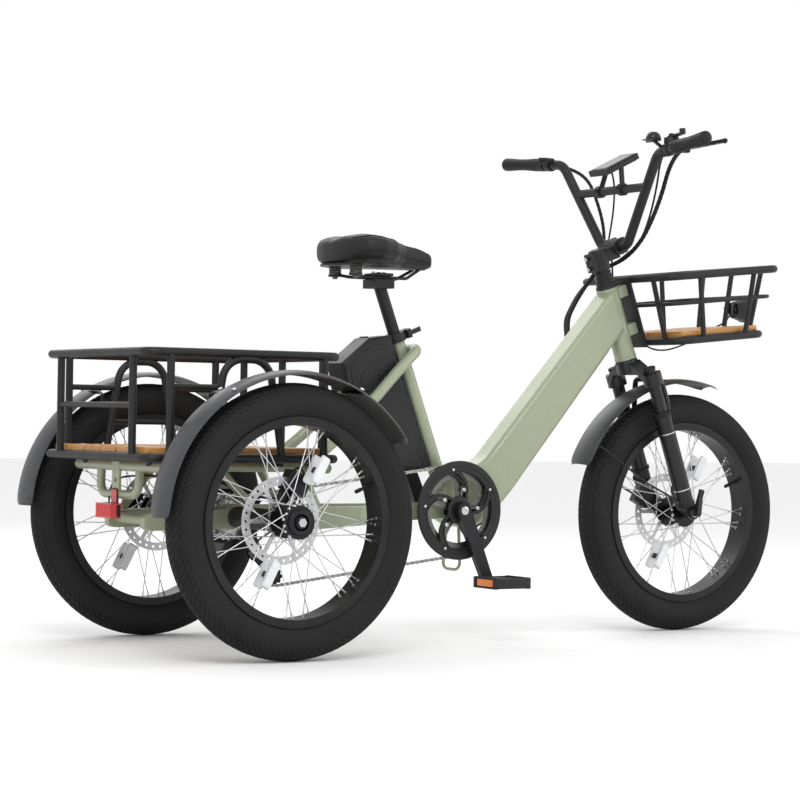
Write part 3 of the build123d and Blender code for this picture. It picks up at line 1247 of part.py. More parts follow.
with BuildPart() as front_basket:
    for up, thickness in ((0.0, RAIL_D), (0.58, 9.0), (1.0, RAIL_D)):
        loop = [basket_point(*corner, up) for corner in ((0, -1), (1, -1), (1, 1), (0, 1))]
        add_bent_tube(loop, 34, thickness, close=True)
    for side in (-1, 1):
        for along, share in ((0.0, 0.6), (0.26, 1.0), (0.76, 1.0), (1.0, 0.62)):
            foot = basket_point(along, side * share, 0)
            add_tube(foot, basket_point(along, side * share, 1), FRONT_POST_D)
    add_tube(basket_point(1, 0, 0), basket_point(1, 0, 1), FRONT_POST_D)
    for along in (0.25, 0.75):
        drop = (RAIL_D - FRONT_POST_D) / 2
        left = basket_point(along, 1, 0) + Vector(0, 0, drop)
        add_tube(Vector(left.X, -left.Y, left.Z), left, FRONT_POST_D)
    add_block(HEAD, PLATE_X + PLATE_T / 2, 0, 98, (PLATE_T, 66, 172))
save(front_basket, "front_basket")

# ---- wooden slats of both baskets --------------------------------------------------------------
with BuildPart() as basket_slats:
    slat_w = 68.0
    floor = Plane(
        origin=rear((BASKET_BACK + BASKET_FRONT) / 2, 0, BASKET_LOW + RAIL_D / 2 + SEAT_GAP + SLAT_T / 2)
    )
    slat_l = BASKET_FRONT - BASKET_BACK - RAIL_D - 4
    for index in range(6):
        add_block(floor, 0, (index - 2.5) * (slat_w + SLAT_GAP), 0, (slat_l, slat_w, SLAT_T))
    tail = basket_point(0, 0, 0)
    nose = basket_point(1, 0, 0)
    run = nose - tail
    front_floor = Plane(origin=(tail + nose) / 2, x_dir=tuple(run), z_dir=(-run.Z, 0, run.X))
    for index in range(4):
        add_block(
            front_floor, 0, (index - 1.5) * (slat_w + SLAT_GAP - 2), RAIL_D / 2 + SEAT_GAP + SLAT_T / 2,
            (run.length - RAIL_D - 6, slat_w - 2, SLAT_T),
        )
save(basket_slats, "basket_slats")

# ---- lights ---------------------------------------------------------------------------------------
post_spot = basket_point(1, 0, 0.42)
LIGHT_REACH = 20.0
LIGHT_D = 58.0
LIGHT_L = 40.0
with BuildPart() as headlight:
    light_back = Plane(origin=post_spot + Vector(LIGHT_REACH, 0, -4), x_dir=(0, 1, 0), z_dir=(1, 0, 0))
    with BuildSketch(light_back) as bowl:
        Circle(LIGHT_D / 2 - 9)
    extrude(bowl.sketch, amount=LIGHT_L - 10, taper=-16)
    add_ring(light_back, LIGHT_L - 12, LIGHT_L, LIGHT_D, LIGHT_D - 8)
    add_ring(light_back, LIGHT_L - 12, LIGHT_L - 9, LIGHT_D - 2)
    bracket = FRONT_POST_D / 2 + SEAT_GAP
    bracket_l = LIGHT_REACH - bracket + 4
    add_block(Plane(origin=post_spot), bracket + bracket_l / 2 - 1, 0, 0, (bracket_l, 20, 26))
    add_tube(
        basket_point(1, 0, 0), basket_point(1, 0, 1), FRONT_POST_D + 2 * SEAT_GAP, mode=Mode.SUBTRACT
    )
    add_ring(light_back, LIGHT_L - 9 + SEAT_GAP, LIGHT_L - 2, LIGHT_D - 8 - 2 * SEAT_GAP)
save(headlight, "headlight")

with BuildPart() as tail_light:
    strap_x = PLATFORM_BACK - PLATFORM_D / 2 - SEAT_GAP - 1.5
    strap_top = (PLATFORM_H + BUMPER_H) / 2 - 20
    add_block(Plane(origin=rear(strap_x, 0, (strap_top + 10) / 2)), 0, 0, 0, (3, 24, strap_top - 10))
    add_block(Plane(origin=rear(strap_x - 1.5 - SEAT_GAP - 12, 0, 12)), 0, 0, 0, (24, 70, 31))
save(tail_light, "tail_light")

# ---- cables ----------------------------------------------------------------------------------------
# Each route runs straight between its points, with a tangent arc at each inner point.
LOOM_D = 11.0
BRAKE_CABLE_D = 5.0


def bend_radii(points, thinnest):
    """Arc radius for each inner point: as large as its two runs allow."""
    radii = []
    for before, here, after in zip(points, points[1:], points[2:]):
        first = here - before
        second = after - here
        turn = radians(first.get_angle(second))
        tangent = sin(turn / 2) / cos(turn / 2)
        radii.append(0.45 * min(first.length, second.length) / tangent)
    print("cable radii", [round(radius) for radius in radii], "least allowed", thinnest)
    return radii


def add_cable(points, diameter):
    """Cable along a route of points, in the part being built."""
    add_bent_tube(points, bend_radii(points, 3 * diameter), diameter)


with BuildPart() as bar_cables:
    right = bar_plane(-1, PERCH_Y)
    left = bar_plane(1, PERCH_Y)
    add_cable(
        [
            on(right, 30, 0, -10.5), on(right, 36, -2, -44), on(BAR, 38, -150, 176),
            on(BAR, 50, -112, 122), on(BAR, 52, -76, 66), on(BAR, 46, -40, 12),
            on(BAR, 34, 4, -26), on(BAR, 14, 44, -44), on(BAR, -8, 66, -62),
        ],
        LOOM_D,
    )
    add_cable(
        [
            on(left, 30, 0, -10.5), on(left, 36, 2, -44), on(BAR, 36, 160, 176),
            on(BAR, 48, 136, 118), on(BAR, 50, 112, 60), on(BAR, 40, 94, 4),
            on(BAR, 16, 84, -40),
        ],
        LOOM_D - 2,
    )
save(bar_cables, "bar_cables")

with BuildPart() as frame_cables:
    add_cable(
        [
            on(BAR, -20, 74, -80), on(BAR, -34, 78, -100), on(BAR, -60, 78, -138),
            on(BAR, -88, 66, -176), on(BAR, -100, DOWN_TUBE_W / 2 + 7, -208),
        ],
        LOOM_D,
    )
    low_run = Vector(low_corner.X - 190, low_corner.Y - 66, 0)
    below = Vector(low_run.Y, -low_run.X, 0).normalized() * (BRAKE_CABLE_D / 2 + 4)
    stretch = [Vector(190, 66, 0) + low_run * share + below * drop for share, drop in (
        (0.93, 1.0), (0.74, 1.25), (0.55, 1.0), (0.36, 1.3), (0.18, 1.0), (0.02, 1.2),
    )]
    stretch += [Vector(157, 13, 0), Vector(113, -31, 0), Vector(80, -46, 0)]
    add_cable([on(SIDE_AT_BB, p.X, p.Y, 0) for p in stretch], BRAKE_CABLE_D)
save(frame_cables, "frame_cables")
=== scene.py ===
"""Looks of an electric adult tricycle, built round its CAD frame.

Sizes are in millimetres. +X points forward, +Y to the rider's left and +Z up.
"""

import json
import logging
from dataclasses import dataclass
from enum import Enum
from functools import lru_cache
from math import asin, atan2, cos, pi, radians, sin
from typing import Callable, Sequence

import bmesh
import bpy
from mathutils import Matrix, Vector

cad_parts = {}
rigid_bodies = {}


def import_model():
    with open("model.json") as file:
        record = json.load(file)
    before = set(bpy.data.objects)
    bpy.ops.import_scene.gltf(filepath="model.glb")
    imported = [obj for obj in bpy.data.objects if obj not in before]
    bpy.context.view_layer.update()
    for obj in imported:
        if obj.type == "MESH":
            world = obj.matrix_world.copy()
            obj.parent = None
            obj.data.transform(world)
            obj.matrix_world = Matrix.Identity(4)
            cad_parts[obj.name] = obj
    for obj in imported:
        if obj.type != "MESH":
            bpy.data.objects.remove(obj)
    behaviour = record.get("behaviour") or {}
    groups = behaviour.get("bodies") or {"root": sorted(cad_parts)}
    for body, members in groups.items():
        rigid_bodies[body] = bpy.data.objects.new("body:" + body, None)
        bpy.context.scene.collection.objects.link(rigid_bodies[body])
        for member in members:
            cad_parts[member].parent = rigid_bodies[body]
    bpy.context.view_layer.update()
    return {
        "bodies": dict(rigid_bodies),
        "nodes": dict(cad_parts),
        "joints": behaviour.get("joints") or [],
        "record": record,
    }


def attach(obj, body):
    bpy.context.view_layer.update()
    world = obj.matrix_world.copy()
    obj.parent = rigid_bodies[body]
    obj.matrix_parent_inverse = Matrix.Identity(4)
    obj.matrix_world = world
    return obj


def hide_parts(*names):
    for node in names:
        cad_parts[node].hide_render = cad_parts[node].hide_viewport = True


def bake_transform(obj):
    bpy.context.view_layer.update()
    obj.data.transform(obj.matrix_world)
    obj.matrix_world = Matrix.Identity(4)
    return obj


log = logging.getLogger("tricycle")
MM = 0.001
Colour = tuple[float, float, float]
Point2 = tuple[float, float]

# Driving sizes shared with the CAD model.
REAR_X = -607.0
FRONT_X = 633.0
AXLE_Z = 280.0
WHEEL_Y = 323.5
BB_X = 573.0
BB_RISE = 10.0
CHAIN_Y = -62.0
HEAD_ANGLE = 19.6
SEAT_ANGLE = 21.0
HEAD_TUBE_LENGTH = 170.0
SEAT_TUBE_D = 35.0
RIM_D = 424.0
RIM_DEPTH = 17.0
HUB_FLANGE_D = 69.0
HUB_FLANGE_Y = 30.0
PIVOT_X = 31.0


class Grain(Enum):
    """Kinds of fine surface that a finish can have."""

    FLAKE = "metallic paint with fine flakes"
    POWDER = "satin powder coat"
    RUBBER = "matt rubber"
    LEATHER = "pebbled leather"
    BRUSHED = "brushed metal"
    WOOD = "oiled bamboo strips"
    PLASTIC = "fine moulded plastic"
    CLEAR = "clear or tinted moulding"


@dataclass(frozen=True)
class Finish:
    """One surface finish: its colours, gloss and fine relief."""

    name: str
    grain: Grain
    colour: Colour
    second: Colour
    metallic: float = 0.0
    rough: tuple[float, float] = (0.4, 0.55)
    size: float = 1.0
    relief: float = 0.05
    coat: float = 0.0
    clear: float = 0.0
    gloss: float = 0.32
    zone: tuple[float, float] | None = None
    zone_colour: Colour = (0.02, 0.02, 0.02)

    def material(self) -> bpy.types.Material:
        """The node material of this finish, made once."""
        return build_material(self)


class Bench:
    """Adds shader nodes and wires them with short calls."""

    def __init__(self, material: bpy.types.Material) -> None:
        """Starts from the material's own empty tree.

        Args:
            material: The material to build.
        """
        material.use_nodes = True
        self.tree = material.node_tree
        self.tree.nodes.clear()

    def add(self, kind: str, wires: dict | None = None, **values) -> bpy.types.Node:
        """Adds one node.

        Args:
            kind: Blender's node type.
            wires: Input name or index to a socket or a plain value.
            values: Attributes set on the node.

        Returns:
            The new node.
        """
        node = self.tree.nodes.new(kind)
        for key, value in values.items():
            setattr(node, key, value)
        for key, value in (wires or {}).items():
            if isinstance(value, bpy.types.NodeSocket):
                self.tree.links.new(value, node.inputs[key])
            else:
                node.inputs[key].default_value = value
        return node

    def blend(self, share: object, low: object, high: object) -> bpy.types.NodeSocket:
        """Mixes two colours by a share socket and returns the result socket.

        Args:
            share: How much of the second colour shows.
            low: First colour.
            high: Second colour.

        Returns:
            The result socket.
        """
        node = self.add("ShaderNodeMix", data_type="RGBA")
        for index, value in ((0, share), (6, low), (7, high)):
            if isinstance(value, bpy.types.NodeSocket):
                self.tree.links.new(value, node.inputs[index])
            else:
                node.inputs[index].default_value = value
        return node.outputs[2]

    def span(self, value: bpy.types.NodeSocket, low: float, high: float) -> bpy.types.NodeSocket:
        """Maps a 0.3 to 0.7 texture value on to low to high."""
        wires = {"Value": value, "From Min": 0.3, "From Max": 0.7, "To Min": low, "To Max": high}
        return self.add("ShaderNodeMapRange", wires).outputs["Result"]


@lru_cache(maxsize=None)
def build_material(finish: Finish) -> bpy.types.Material:
    """Builds a finish's node material.

    Args:
        finish: The finish to build.

    Returns:
        The material.
    """
    material = bpy.data.materials.new(finish.name)
    bench = Bench(material)
    where = bench.add("ShaderNodeTexCoord").outputs["Object"]
    stretch = {Grain.BRUSHED: (1.0, 14.0, 1.0), Grain.WOOD: (0.05, 1.0, 1.0)}
    scale = [share / (finish.size * MM) for share in stretch.get(finish.grain, (1.0, 1.0, 1.0))]
    fine_at = bench.add("ShaderNodeMapping", {"Vector": where, "Scale": scale}).outputs[0]
    cells = finish.grain in (Grain.LEATHER, Grain.FLAKE, Grain.PLASTIC)
    if cells:
        kind = "SMOOTH_F1" if finish.grain is Grain.LEATHER else "F1"
        texture = bench.add("ShaderNodeTexVoronoi", {"Vector": fine_at, "Scale": 1.0}, feature=kind)
        fine = texture.outputs["Distance"]
    else:
        texture = bench.add("ShaderNodeTexNoise", {"Vector": fine_at, "Scale": 1.0, "Detail": 4.0})
        fine = texture.outputs[0]
    broad = bench.add("ShaderNodeTexNoise", {"Vector": where, "Scale": 9.0, "Detail": 5.0}).outputs[0]
    low = (*finish.colour, 1.0)
    high = (*finish.second, 1.0)
    if finish.grain is Grain.FLAKE:
        colour = bench.blend(bench.span(texture.outputs["Color"], 0.0, 1.0), low, high)
    elif finish.grain is Grain.WOOD:
        strips = bench.add("ShaderNodeMapping", {"Vector": where, "Scale": (3.0, 160.0, 160.0)})
        lines = bench.add("ShaderNodeTexNoise", {"Vector": strips.outputs[0], "Scale": 1.0, "Detail": 6.0})
        tone = bench.span(lines.outputs[0], 0.0, 1.0)
        colour = bench.blend(tone, low, high)
        knots = bench.span(broad, 0.0, 0.35)
        colour = bench.blend(knots, colour, (high[0] * 0.5, high[1] * 0.4, high[2] * 0.3, 1.0))
    else:
        colour = bench.blend(bench.span(broad, 0.0, 1.0), low, high)
    rough = bench.span(broad, *finish.rough)
    shader = bench.add("ShaderNodeBsdfPrincipled", {"Roughness": rough})
    shader.inputs["Metallic"].default_value = finish.metallic
    shader.inputs["Specular IOR Level"].default_value = finish.gloss
    shader.inputs["Coat Weight"].default_value = finish.coat
    shader.inputs["Coat Roughness"].default_value = 0.15
    shader.inputs["Transmission Weight"].default_value = finish.clear
    if finish.zone is not None:
        parts = bench.add("ShaderNodeSeparateXYZ", {"Vector": where})
        off = bench.add(
            "ShaderNodeMath", {0: parts.outputs["Y"], 1: finish.zone[0] * MM}, operation="SUBTRACT"
        )
        gap = bench.add("ShaderNodeMath", {0: off.outputs[0]}, operation="ABSOLUTE")
        inside = bench.add(
            "ShaderNodeMath", {0: gap.outputs[0], 1: finish.zone[1] * MM}, operation="LESS_THAN"
        )
        colour = bench.blend(inside.outputs[0], colour, (*finish.zone_colour, 1.0))
    bench.tree.links.new(colour, shader.inputs["Base Color"])
    bump = bench.add("ShaderNodeBump", {"Height": fine, "Distance": finish.relief * MM, "Strength": 0.6})
    bench.tree.links.new(bump.outputs[0], shader.inputs["Normal"])
    bench.add("ShaderNodeOutputMaterial", {"Surface": shader.outputs[0]})
    return material


PAINT = Finish(
    "sage_metallic_paint", Grain.FLAKE, (0.255, 0.28, 0.19), (0.35, 0.38, 0.27),
    metallic=0.25, rough=(0.34, 0.42), size=0.5, relief=0.01, coat=0.12, gloss=0.4,
)
BLACK = Finish(
    "satin_black_coat", Grain.POWDER, (0.008, 0.008, 0.009), (0.015, 0.015, 0.016),
    rough=(0.42, 0.54), size=0.9, relief=0.03,
)
GLOSS_BLACK = Finish(
    "gloss_black_paint", Grain.POWDER, (0.007, 0.007, 0.008), (0.012, 0.012, 0.013),
    rough=(0.24, 0.34), size=1.5, relief=0.008, coat=0.1,
)
FENDER = Finish(
    "graphite_fender_coat", Grain.POWDER, (0.048, 0.049, 0.052), (0.068, 0.069, 0.073),
    metallic=0.25, rough=(0.38, 0.48), size=0.8, relief=0.02,
)
TYRE = Finish(
    "tyre_rubber", Grain.RUBBER, (0.008, 0.008, 0.009), (0.016, 0.016, 0.016),
    rough=(0.62, 0.8), size=1.2, relief=0.08, gloss=0.2,
)
RUBBER = Finish(
    "soft_black_rubber", Grain.RUBBER, (0.008, 0.008, 0.008), (0.015, 0.015, 0.015),
    rough=(0.5, 0.7), size=0.8, relief=0.05, gloss=0.25,
)
RIM = Finish(
    "black_anodised_rim", Grain.BRUSHED, (0.010, 0.010, 0.011), (0.018, 0.018, 0.019),
    metallic=0.3, rough=(0.34, 0.44), size=0.8, relief=0.01,
)
STEEL = Finish(
    "bright_brushed_steel", Grain.BRUSHED, (0.52, 0.52, 0.53), (0.66, 0.66, 0.67),
    metallic=1.0, rough=(0.22, 0.36), size=0.6, relief=0.01,
)
DARK_STEEL = Finish(
    "oiled_dark_steel", Grain.BRUSHED, (0.10, 0.095, 0.09), (0.20, 0.19, 0.18),
    metallic=1.0, rough=(0.3, 0.45), size=0.6, relief=0.02,
)
ALLOY = Finish(
    "black_alloy", Grain.POWDER, (0.014, 0.014, 0.016), (0.028, 0.028, 0.03),
    metallic=0.4, rough=(0.3, 0.42), size=0.7, relief=0.015,
)
PLASTIC = Finish(
    "black_moulded_plastic", Grain.PLASTIC, (0.009, 0.009, 0.010), (0.016, 0.016, 0.017),
    rough=(0.42, 0.55), size=0.7, relief=0.04,
)
LEATHER = Finish(
    "black_saddle_leather", Grain.LEATHER, (0.008, 0.008, 0.009), (0.015, 0.015, 0.015),
    rough=(0.44, 0.58), size=2.2, relief=0.22, gloss=0.28,
)
BAMBOO = Finish(
    "oiled_bamboo", Grain.WOOD, (0.66, 0.35, 0.11), (0.44, 0.19, 0.045),
    rough=(0.34, 0.46), size=1.0, relief=0.05, coat=0.1,
)
CHAIN_STEEL = Finish(
    "bright_chain_steel", Grain.BRUSHED, (0.26, 0.25, 0.24), (0.40, 0.39, 0.37),
    metallic=1.0, rough=(0.26, 0.4), size=0.6, relief=0.02,
)
GLASS = Finish(
    "screen_glass", Grain.CLEAR, (0.01, 0.012, 0.016), (0.014, 0.016, 0.02),
    rough=(0.06, 0.1), size=4.0, relief=0.002, coat=0.5,
)
LENS = Finish(
    "clear_lens", Grain.CLEAR, (0.9, 0.92, 0.95), (0.8, 0.82, 0.85),
    rough=(0.05, 0.12), size=3.0, relief=0.05, clear=0.85,
)
RED = Finish(
    "red_reflector", Grain.PLASTIC, (0.52, 0.008, 0.01), (0.36, 0.004, 0.006),
    rough=(0.12, 0.2), size=3.0, relief=0.35, coat=0.4, gloss=0.5,
)
AMBER = Finish(
    "amber_reflector", Grain.PLASTIC, (0.85, 0.22, 0.01), (0.6, 0.12, 0.005),
    rough=(0.12, 0.2), size=3.0, relief=0.35, coat=0.4, gloss=0.5,
)
WHITE = Finish(
    "white_reflector", Grain.PLASTIC, (0.72, 0.73, 0.74), (0.6, 0.61, 0.62),
    rough=(0.12, 0.22), size=3.0, relief=0.35, coat=0.4, gloss=0.5,
)
FLOOR = Finish(
    "studio_floor", Grain.POWDER, (0.86, 0.86, 0.86), (0.88, 0.88, 0.88),
    rough=(0.7, 0.8), size=20.0, relief=0.02,
)


@dataclass(frozen=True)
class Place:
    """A local set of axes: origin, x and z, in the model's millimetres."""

    origin: Vector
    x: Vector
    z: Vector

    @property
    def y(self) -> Vector:
        """The third axis."""
        return self.z.cross(self.x)

    def at(self, x: float, y: float, z: float = 0.0) -> Vector:
        """The model point with these local coordinates."""
        return self.origin + self.x * x + self.y * y + self.z * z

    def moved(self, x: float, y: float, z: float = 0.0) -> "Place":
        """The same axes at another local point."""
        return Place(self.at(x, y, z), self.x, self.z)

    def turned(self, degrees: float) -> "Place":
        """The axes turned about their own z."""
        turn = radians(degrees)
        return Place(self.origin, self.x * cos(turn) + self.y * sin(turn), self.z)


def tilted(origin: Vector, angle: float) -> Place:
    """Axes whose z leans back from the vertical by angle degrees."""
    turn = radians(angle)
    return Place(origin, Vector((cos(turn), 0, sin(turn))), Vector((-sin(turn), 0, cos(turn))))


def rear(x: float, y: float, h: float) -> Vector:
    """Point x ahead of the rear axle, y to the left and h above it."""
    return Vector((REAR_X + x, y, AXLE_Z + h))


def front(x: float, y: float, h: float) -> Vector:
    """Point x ahead of the front axle, y to the left and h above it."""
    return Vector((FRONT_X + x, y, AXLE_Z + h))


def facing(origin: Vector, z: Sequence[float], x: Sequence[float] = (1, 0, 0)) -> Place:
    """Axes at origin whose z is the given direction and whose x lies as near x as it can.

    Args:
        origin: Where the axes start.
        z: Direction of z.
        x: Direction that x keeps near to.

    Returns:
        The axes.
    """
    normal = Vector(z).normalized()
    along = Vector(x)
    along = along - normal * along.dot(normal)
    if along.length < 0.01:
        along = normal.orthogonal()
    return Place(origin, along.normalized(), normal)


AXLE = tilted(Vector((FRONT_X, 0, AXLE_Z)), HEAD_ANGLE)
HEAD = tilted(AXLE.at(-28.0, 0, 395.0), HEAD_ANGLE)
SEAT = tilted(rear(587.0, 0, BB_RISE), SEAT_ANGLE)
SEAT_SIDE = Place(SEAT.origin, SEAT.x, Vector((0, -1, 0)))
BAR = tilted(HEAD.at(53.0, 0, 257.0), 0)
SADDLE = tilted(SEAT.at(0, 0, 535.0), 0)
REAR_SIDE = facing(rear(0, 0, 0), (0, -1, 0))
FRONT_SIDE = facing(front(0, 0, 0), (0, -1, 0))
BB_SIDE = facing(rear(BB_X, 0, BB_RISE), (0, -1, 0))

BAR_HIGH = Vector((-20.0, 184.0, 205.0))
BAR_END = Vector((-46.0, 388.0, 220.0))


def bar_place(side: int, y: float) -> Place:
    """Axes on the handlebar's outer run: x forward, z outward.

    Args:
        side: 1 or -1, for the two sides.
        y: Distance from the middle of the bar.

    Returns:
        The axes.
    """
    share = (y - BAR_HIGH.y) / (BAR_END.y - BAR_HIGH.y)
    spot = BAR_HIGH.lerp(BAR_END, share)
    run = BAR_END - BAR_HIGH
    run.y *= side
    run.normalize()
    return facing(BAR.at(spot.x, side * spot.y, spot.z), run)


def circle(radius: float, count: int = 24) -> list[Point2]:
    """Points round a circle."""
    return [(radius * cos(2 * pi * i / count), radius * sin(2 * pi * i / count)) for i in range(count)]


def rounded(width: float, height: float, corner: float, steps: int = 4) -> list[Point2]:
    """Points round a rectangle with rounded corners.

    Args:
        width: Its width.
        height: Its height.
        corner: Radius of its corners.
        steps: Steps in each corner.

    Returns:
        The points.
    """
    points = []
    for quarter, (sx, sy) in enumerate(((1, 1), (-1, 1), (-1, -1), (1, -1))):
        for step in range(steps + 1):
            turn = pi / 2 * (quarter + step / steps)
            x = sx * (width / 2 - corner) + corner * cos(turn)
            points.append((x, sy * (height / 2 - corner) + corner * sin(turn)))
    return points


class Shaper:
    """Collects the vertices and faces of one piece."""

    def __init__(self) -> None:
        """Starts with nothing."""
        self.points: list[Vector] = []
        self.faces: list[tuple[int, ...]] = []

    def loft(self, rings: Sequence[Sequence[Vector]], loop: bool = False, caps: bool = True) -> None:
        """Joins rings of points, each of the same count, with quads.

        Args:
            rings: The rings in order.
            loop: True joins the last ring to the first.
            caps: True closes both end rings.
        """
        first = len(self.points)
        count = len(rings[0])
        for ring in rings:
            self.points.extend(ring)
        total = len(rings) if loop else len(rings) - 1
        for row in range(total):
            low = first + row * count
            high = first + (row + 1) % len(rings) * count
            for i in range(count):
                j = (i + 1) % count
                self.faces.append((low + i, low + j, high + j, high + i))
        if caps and not loop:
            self.faces.append(tuple(range(first, first + count)))
            last = first + (len(rings) - 1) * count
            self.faces.append(tuple(range(last, last + count)))

    def lathe(self, place: Place, profile: Sequence[Point2], count: int = 40, loop: bool = False) -> None:
        """Turns (radius, height) points about a place's z; loop closes the section itself.

        Args:
            place: Axes that it is built on.
            profile: Radius and height of each point of the section.
            count: Points round it.
            loop: True closes the section itself.
        """
        rings = []
        for radius, height in profile:
            rings.append([place.at(x, y, height) for x, y in circle(max(radius, 0.05), count)])
        self.loft(rings, loop=loop)

    def plate(
        self, place: Place, outline: Sequence[Point2], low: float, high: float, edge: float = 0.6
    ) -> None:
        """Plate between two heights with softened edges.

        Args:
            place: Axes that it is built on.
            outline: Points round its edge.
            low: Its lower height.
            high: Its upper height.
            edge: Width of its softened edges.
        """
        mid_x = sum(x for x, _ in outline) / len(outline)
        mid_y = sum(y for _, y in outline) / len(outline)
        reach = max(((x - mid_x) ** 2 + (y - mid_y) ** 2) ** 0.5 for x, y in outline)
        share = 1 - edge / reach
        inner = [(mid_x + (x - mid_x) * share, mid_y + (y - mid_y) * share) for x, y in outline]
        rings = []
        for points, height in ((inner, low), (outline, low + edge), (outline, high - edge), (inner, high)):
            rings.append([place.at(x, y, height) for x, y in points])
        self.loft(rings)

    def ring_plate(
        self, place: Place, outer: Callable[[float], float], inner: Callable[[float], float],
        low: float, high: float, count: int,
    ) -> None:
        """Flat ring whose two radii are functions of the turn in radians.

        Args:
            place: Axes that it is built on.
            outer: Outer radius for a turn in radians.
            inner: Inner radius for a turn in radians.
            low: Its lower height.
            high: Its upper height.
            count: Points round it.
        """
        rings = []
        for radius, height in ((inner, low), (outer, low), (outer, high), (inner, high)):
            ring = []
            for step in range(count):
                turn = 2 * pi * step / count
                ring.append(place.at(radius(turn) * cos(turn), radius(turn) * sin(turn), height))
            rings.append(ring)
        self.loft(rings, loop=True)

    def tube(
        self, path: Sequence[Vector], radius: float | Sequence[float], count: int = 12,
        loop: bool = False, flat: float = 1.0,
    ) -> None:
        """Sweeps a round or flattened section along a path.

        Args:
            path: Points along the middle.
            radius: One radius or one for each point.
            count: Points round the section.
            loop: True joins the end to the start.
            flat: Section's second width as a share of its first.
        """
        total = len(path)
        radii = [radius] * total if isinstance(radius, (int, float)) else list(radius)
        rings = []
        side = None
        for i, spot in enumerate(path):
            before = path[(i - 1) % total] if loop or i else spot
            after = path[(i + 1) % total] if loop or i < total - 1 else spot
            run = (after - before).normalized()
            if side is None:
                side = run.orthogonal().normalized()
            side = (side - run * side.dot(run)).normalized()
            other = run.cross(side)
            ring = [spot + side * x * radii[i] + other * y * radii[i] * flat for x, y in circle(1.0, count)]
            rings.append(ring)
        self.loft(rings, loop=loop)

    def bolt(self, place: Place, across: float = 10.0, tall: float = 5.0) -> None:
        """Hexagon bolt head with softened edges on a washer.

        Args:
            place: Axes that it is built on.
            across: Width of its head.
            tall: Height of its head.
        """
        washer = 1.2
        self.lathe(place, [(across * 0.72, 0), (across * 0.72, 0.8), (across * 0.68, washer)], 20)
        self.plate(place, circle(across / 2 * 1.15, 6), washer - 0.2, washer + tall, 0.7)

    def cap_screw(self, place: Place, across: float = 8.0, tall: float = 5.0) -> None:
        """Round cap screw with a sunk socket.

        Args:
            place: Axes that it is built on.
            across: Width of its head.
            tall: Height of its head.
        """
        r = across / 2
        self.lathe(
            place, [(r, 0), (r, tall - 0.6), (r - 0.6, tall), (r * 0.5, tall), (r * 0.5, tall - 2)], 20
        )

    def make(
        self, name: str, finish: Finish, body: str, slot: str = "", replaces: Sequence[str] = (),
        sharp: float = 34.0,
    ) -> bpy.types.Object:
        """Makes the Blender object of this piece and puts it on its body.

        Args:
            name: The piece's name.
            finish: Its finish.
            body: The CAD body it rides on.
            slot: The record's material slot, if one fits. Not used.
            replaces: CAD nodes that it stands for.
            sharp: Edges bent more than this many degrees stay crisp.

        Returns:
            The new object.
        """
        mesh = bpy.data.meshes.new(name)
        mesh.from_pydata([tuple(point * MM) for point in self.points], [], self.faces)
        edit = bmesh.new()
        edit.from_mesh(mesh)
        bmesh.ops.recalc_face_normals(edit, faces=edit.faces)
        for face in edit.faces:
            face.smooth = True
        for edge in edit.edges:
            if len(edge.link_faces) == 2 and edge.calc_face_angle(0.0) > radians(sharp):
                edge.smooth = False
        edit.to_mesh(mesh)
        edit.free()
        return settle(name, mesh, finish, body, replaces)


def settle(
    name: str, mesh: bpy.types.Mesh, finish: Finish, body: str,
    replaces: Sequence[str] = (), at: Vector | None = None,
) -> bpy.types.Object:
    """Links an object for a mesh, dresses it and puts it on its body.

    Args:
        name: The piece's name.
        mesh: Its mesh, in metres.
        finish: Its finish.
        body: The CAD body it rides on, or nothing for a piece left on no body.
        replaces: CAD nodes that it stands for.
        at: Where its own origin goes, in millimetres.

    Returns:
        The new object.
    """
    obj = bpy.data.objects.new(name, mesh)
    bpy.context.scene.collection.objects.link(obj)
    if not mesh.materials:
        mesh.materials.append(finish.material())
    if at is not None:
        obj.location = at * MM
    if body:
        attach(obj, body)
    if replaces:
        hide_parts(*replaces)
    log.info("piece %s on %s", name, body or "two joined bodies")
    return obj


def smooth_route(points: Sequence[Vector], steps: int = 12) -> list[Vector]:
    """Points along a smooth spline led by control points.

    Args:
        points: Control points in millimetres.
        steps: Spline resolution.

    Returns:
        Points along the spline, in millimetres.
    """
    curve = bpy.data.curves.new("route", "CURVE")
    curve.dimensions = "3D"
    spline = curve.splines.new("NURBS")
    spline.points.add(len(points) - 1)
    for knot, point in zip(spline.points, points):
        knot.co = (*point, 1.0)
    spline.order_u = 3
    spline.use_endpoint_u = True
    spline.resolution_u = steps
    holder = bpy.data.objects.new("route", curve)
    bpy.context.scene.collection.objects.link(holder)
    bpy.context.view_layer.update()
    mesh = bpy.data.meshes.new_from_object(holder)
    route = [vertex.co.copy() for vertex in mesh.vertices]
    bpy.data.objects.remove(holder)
    bpy.data.meshes.remove(mesh)
    bpy.data.curves.remove(curve)
    return route


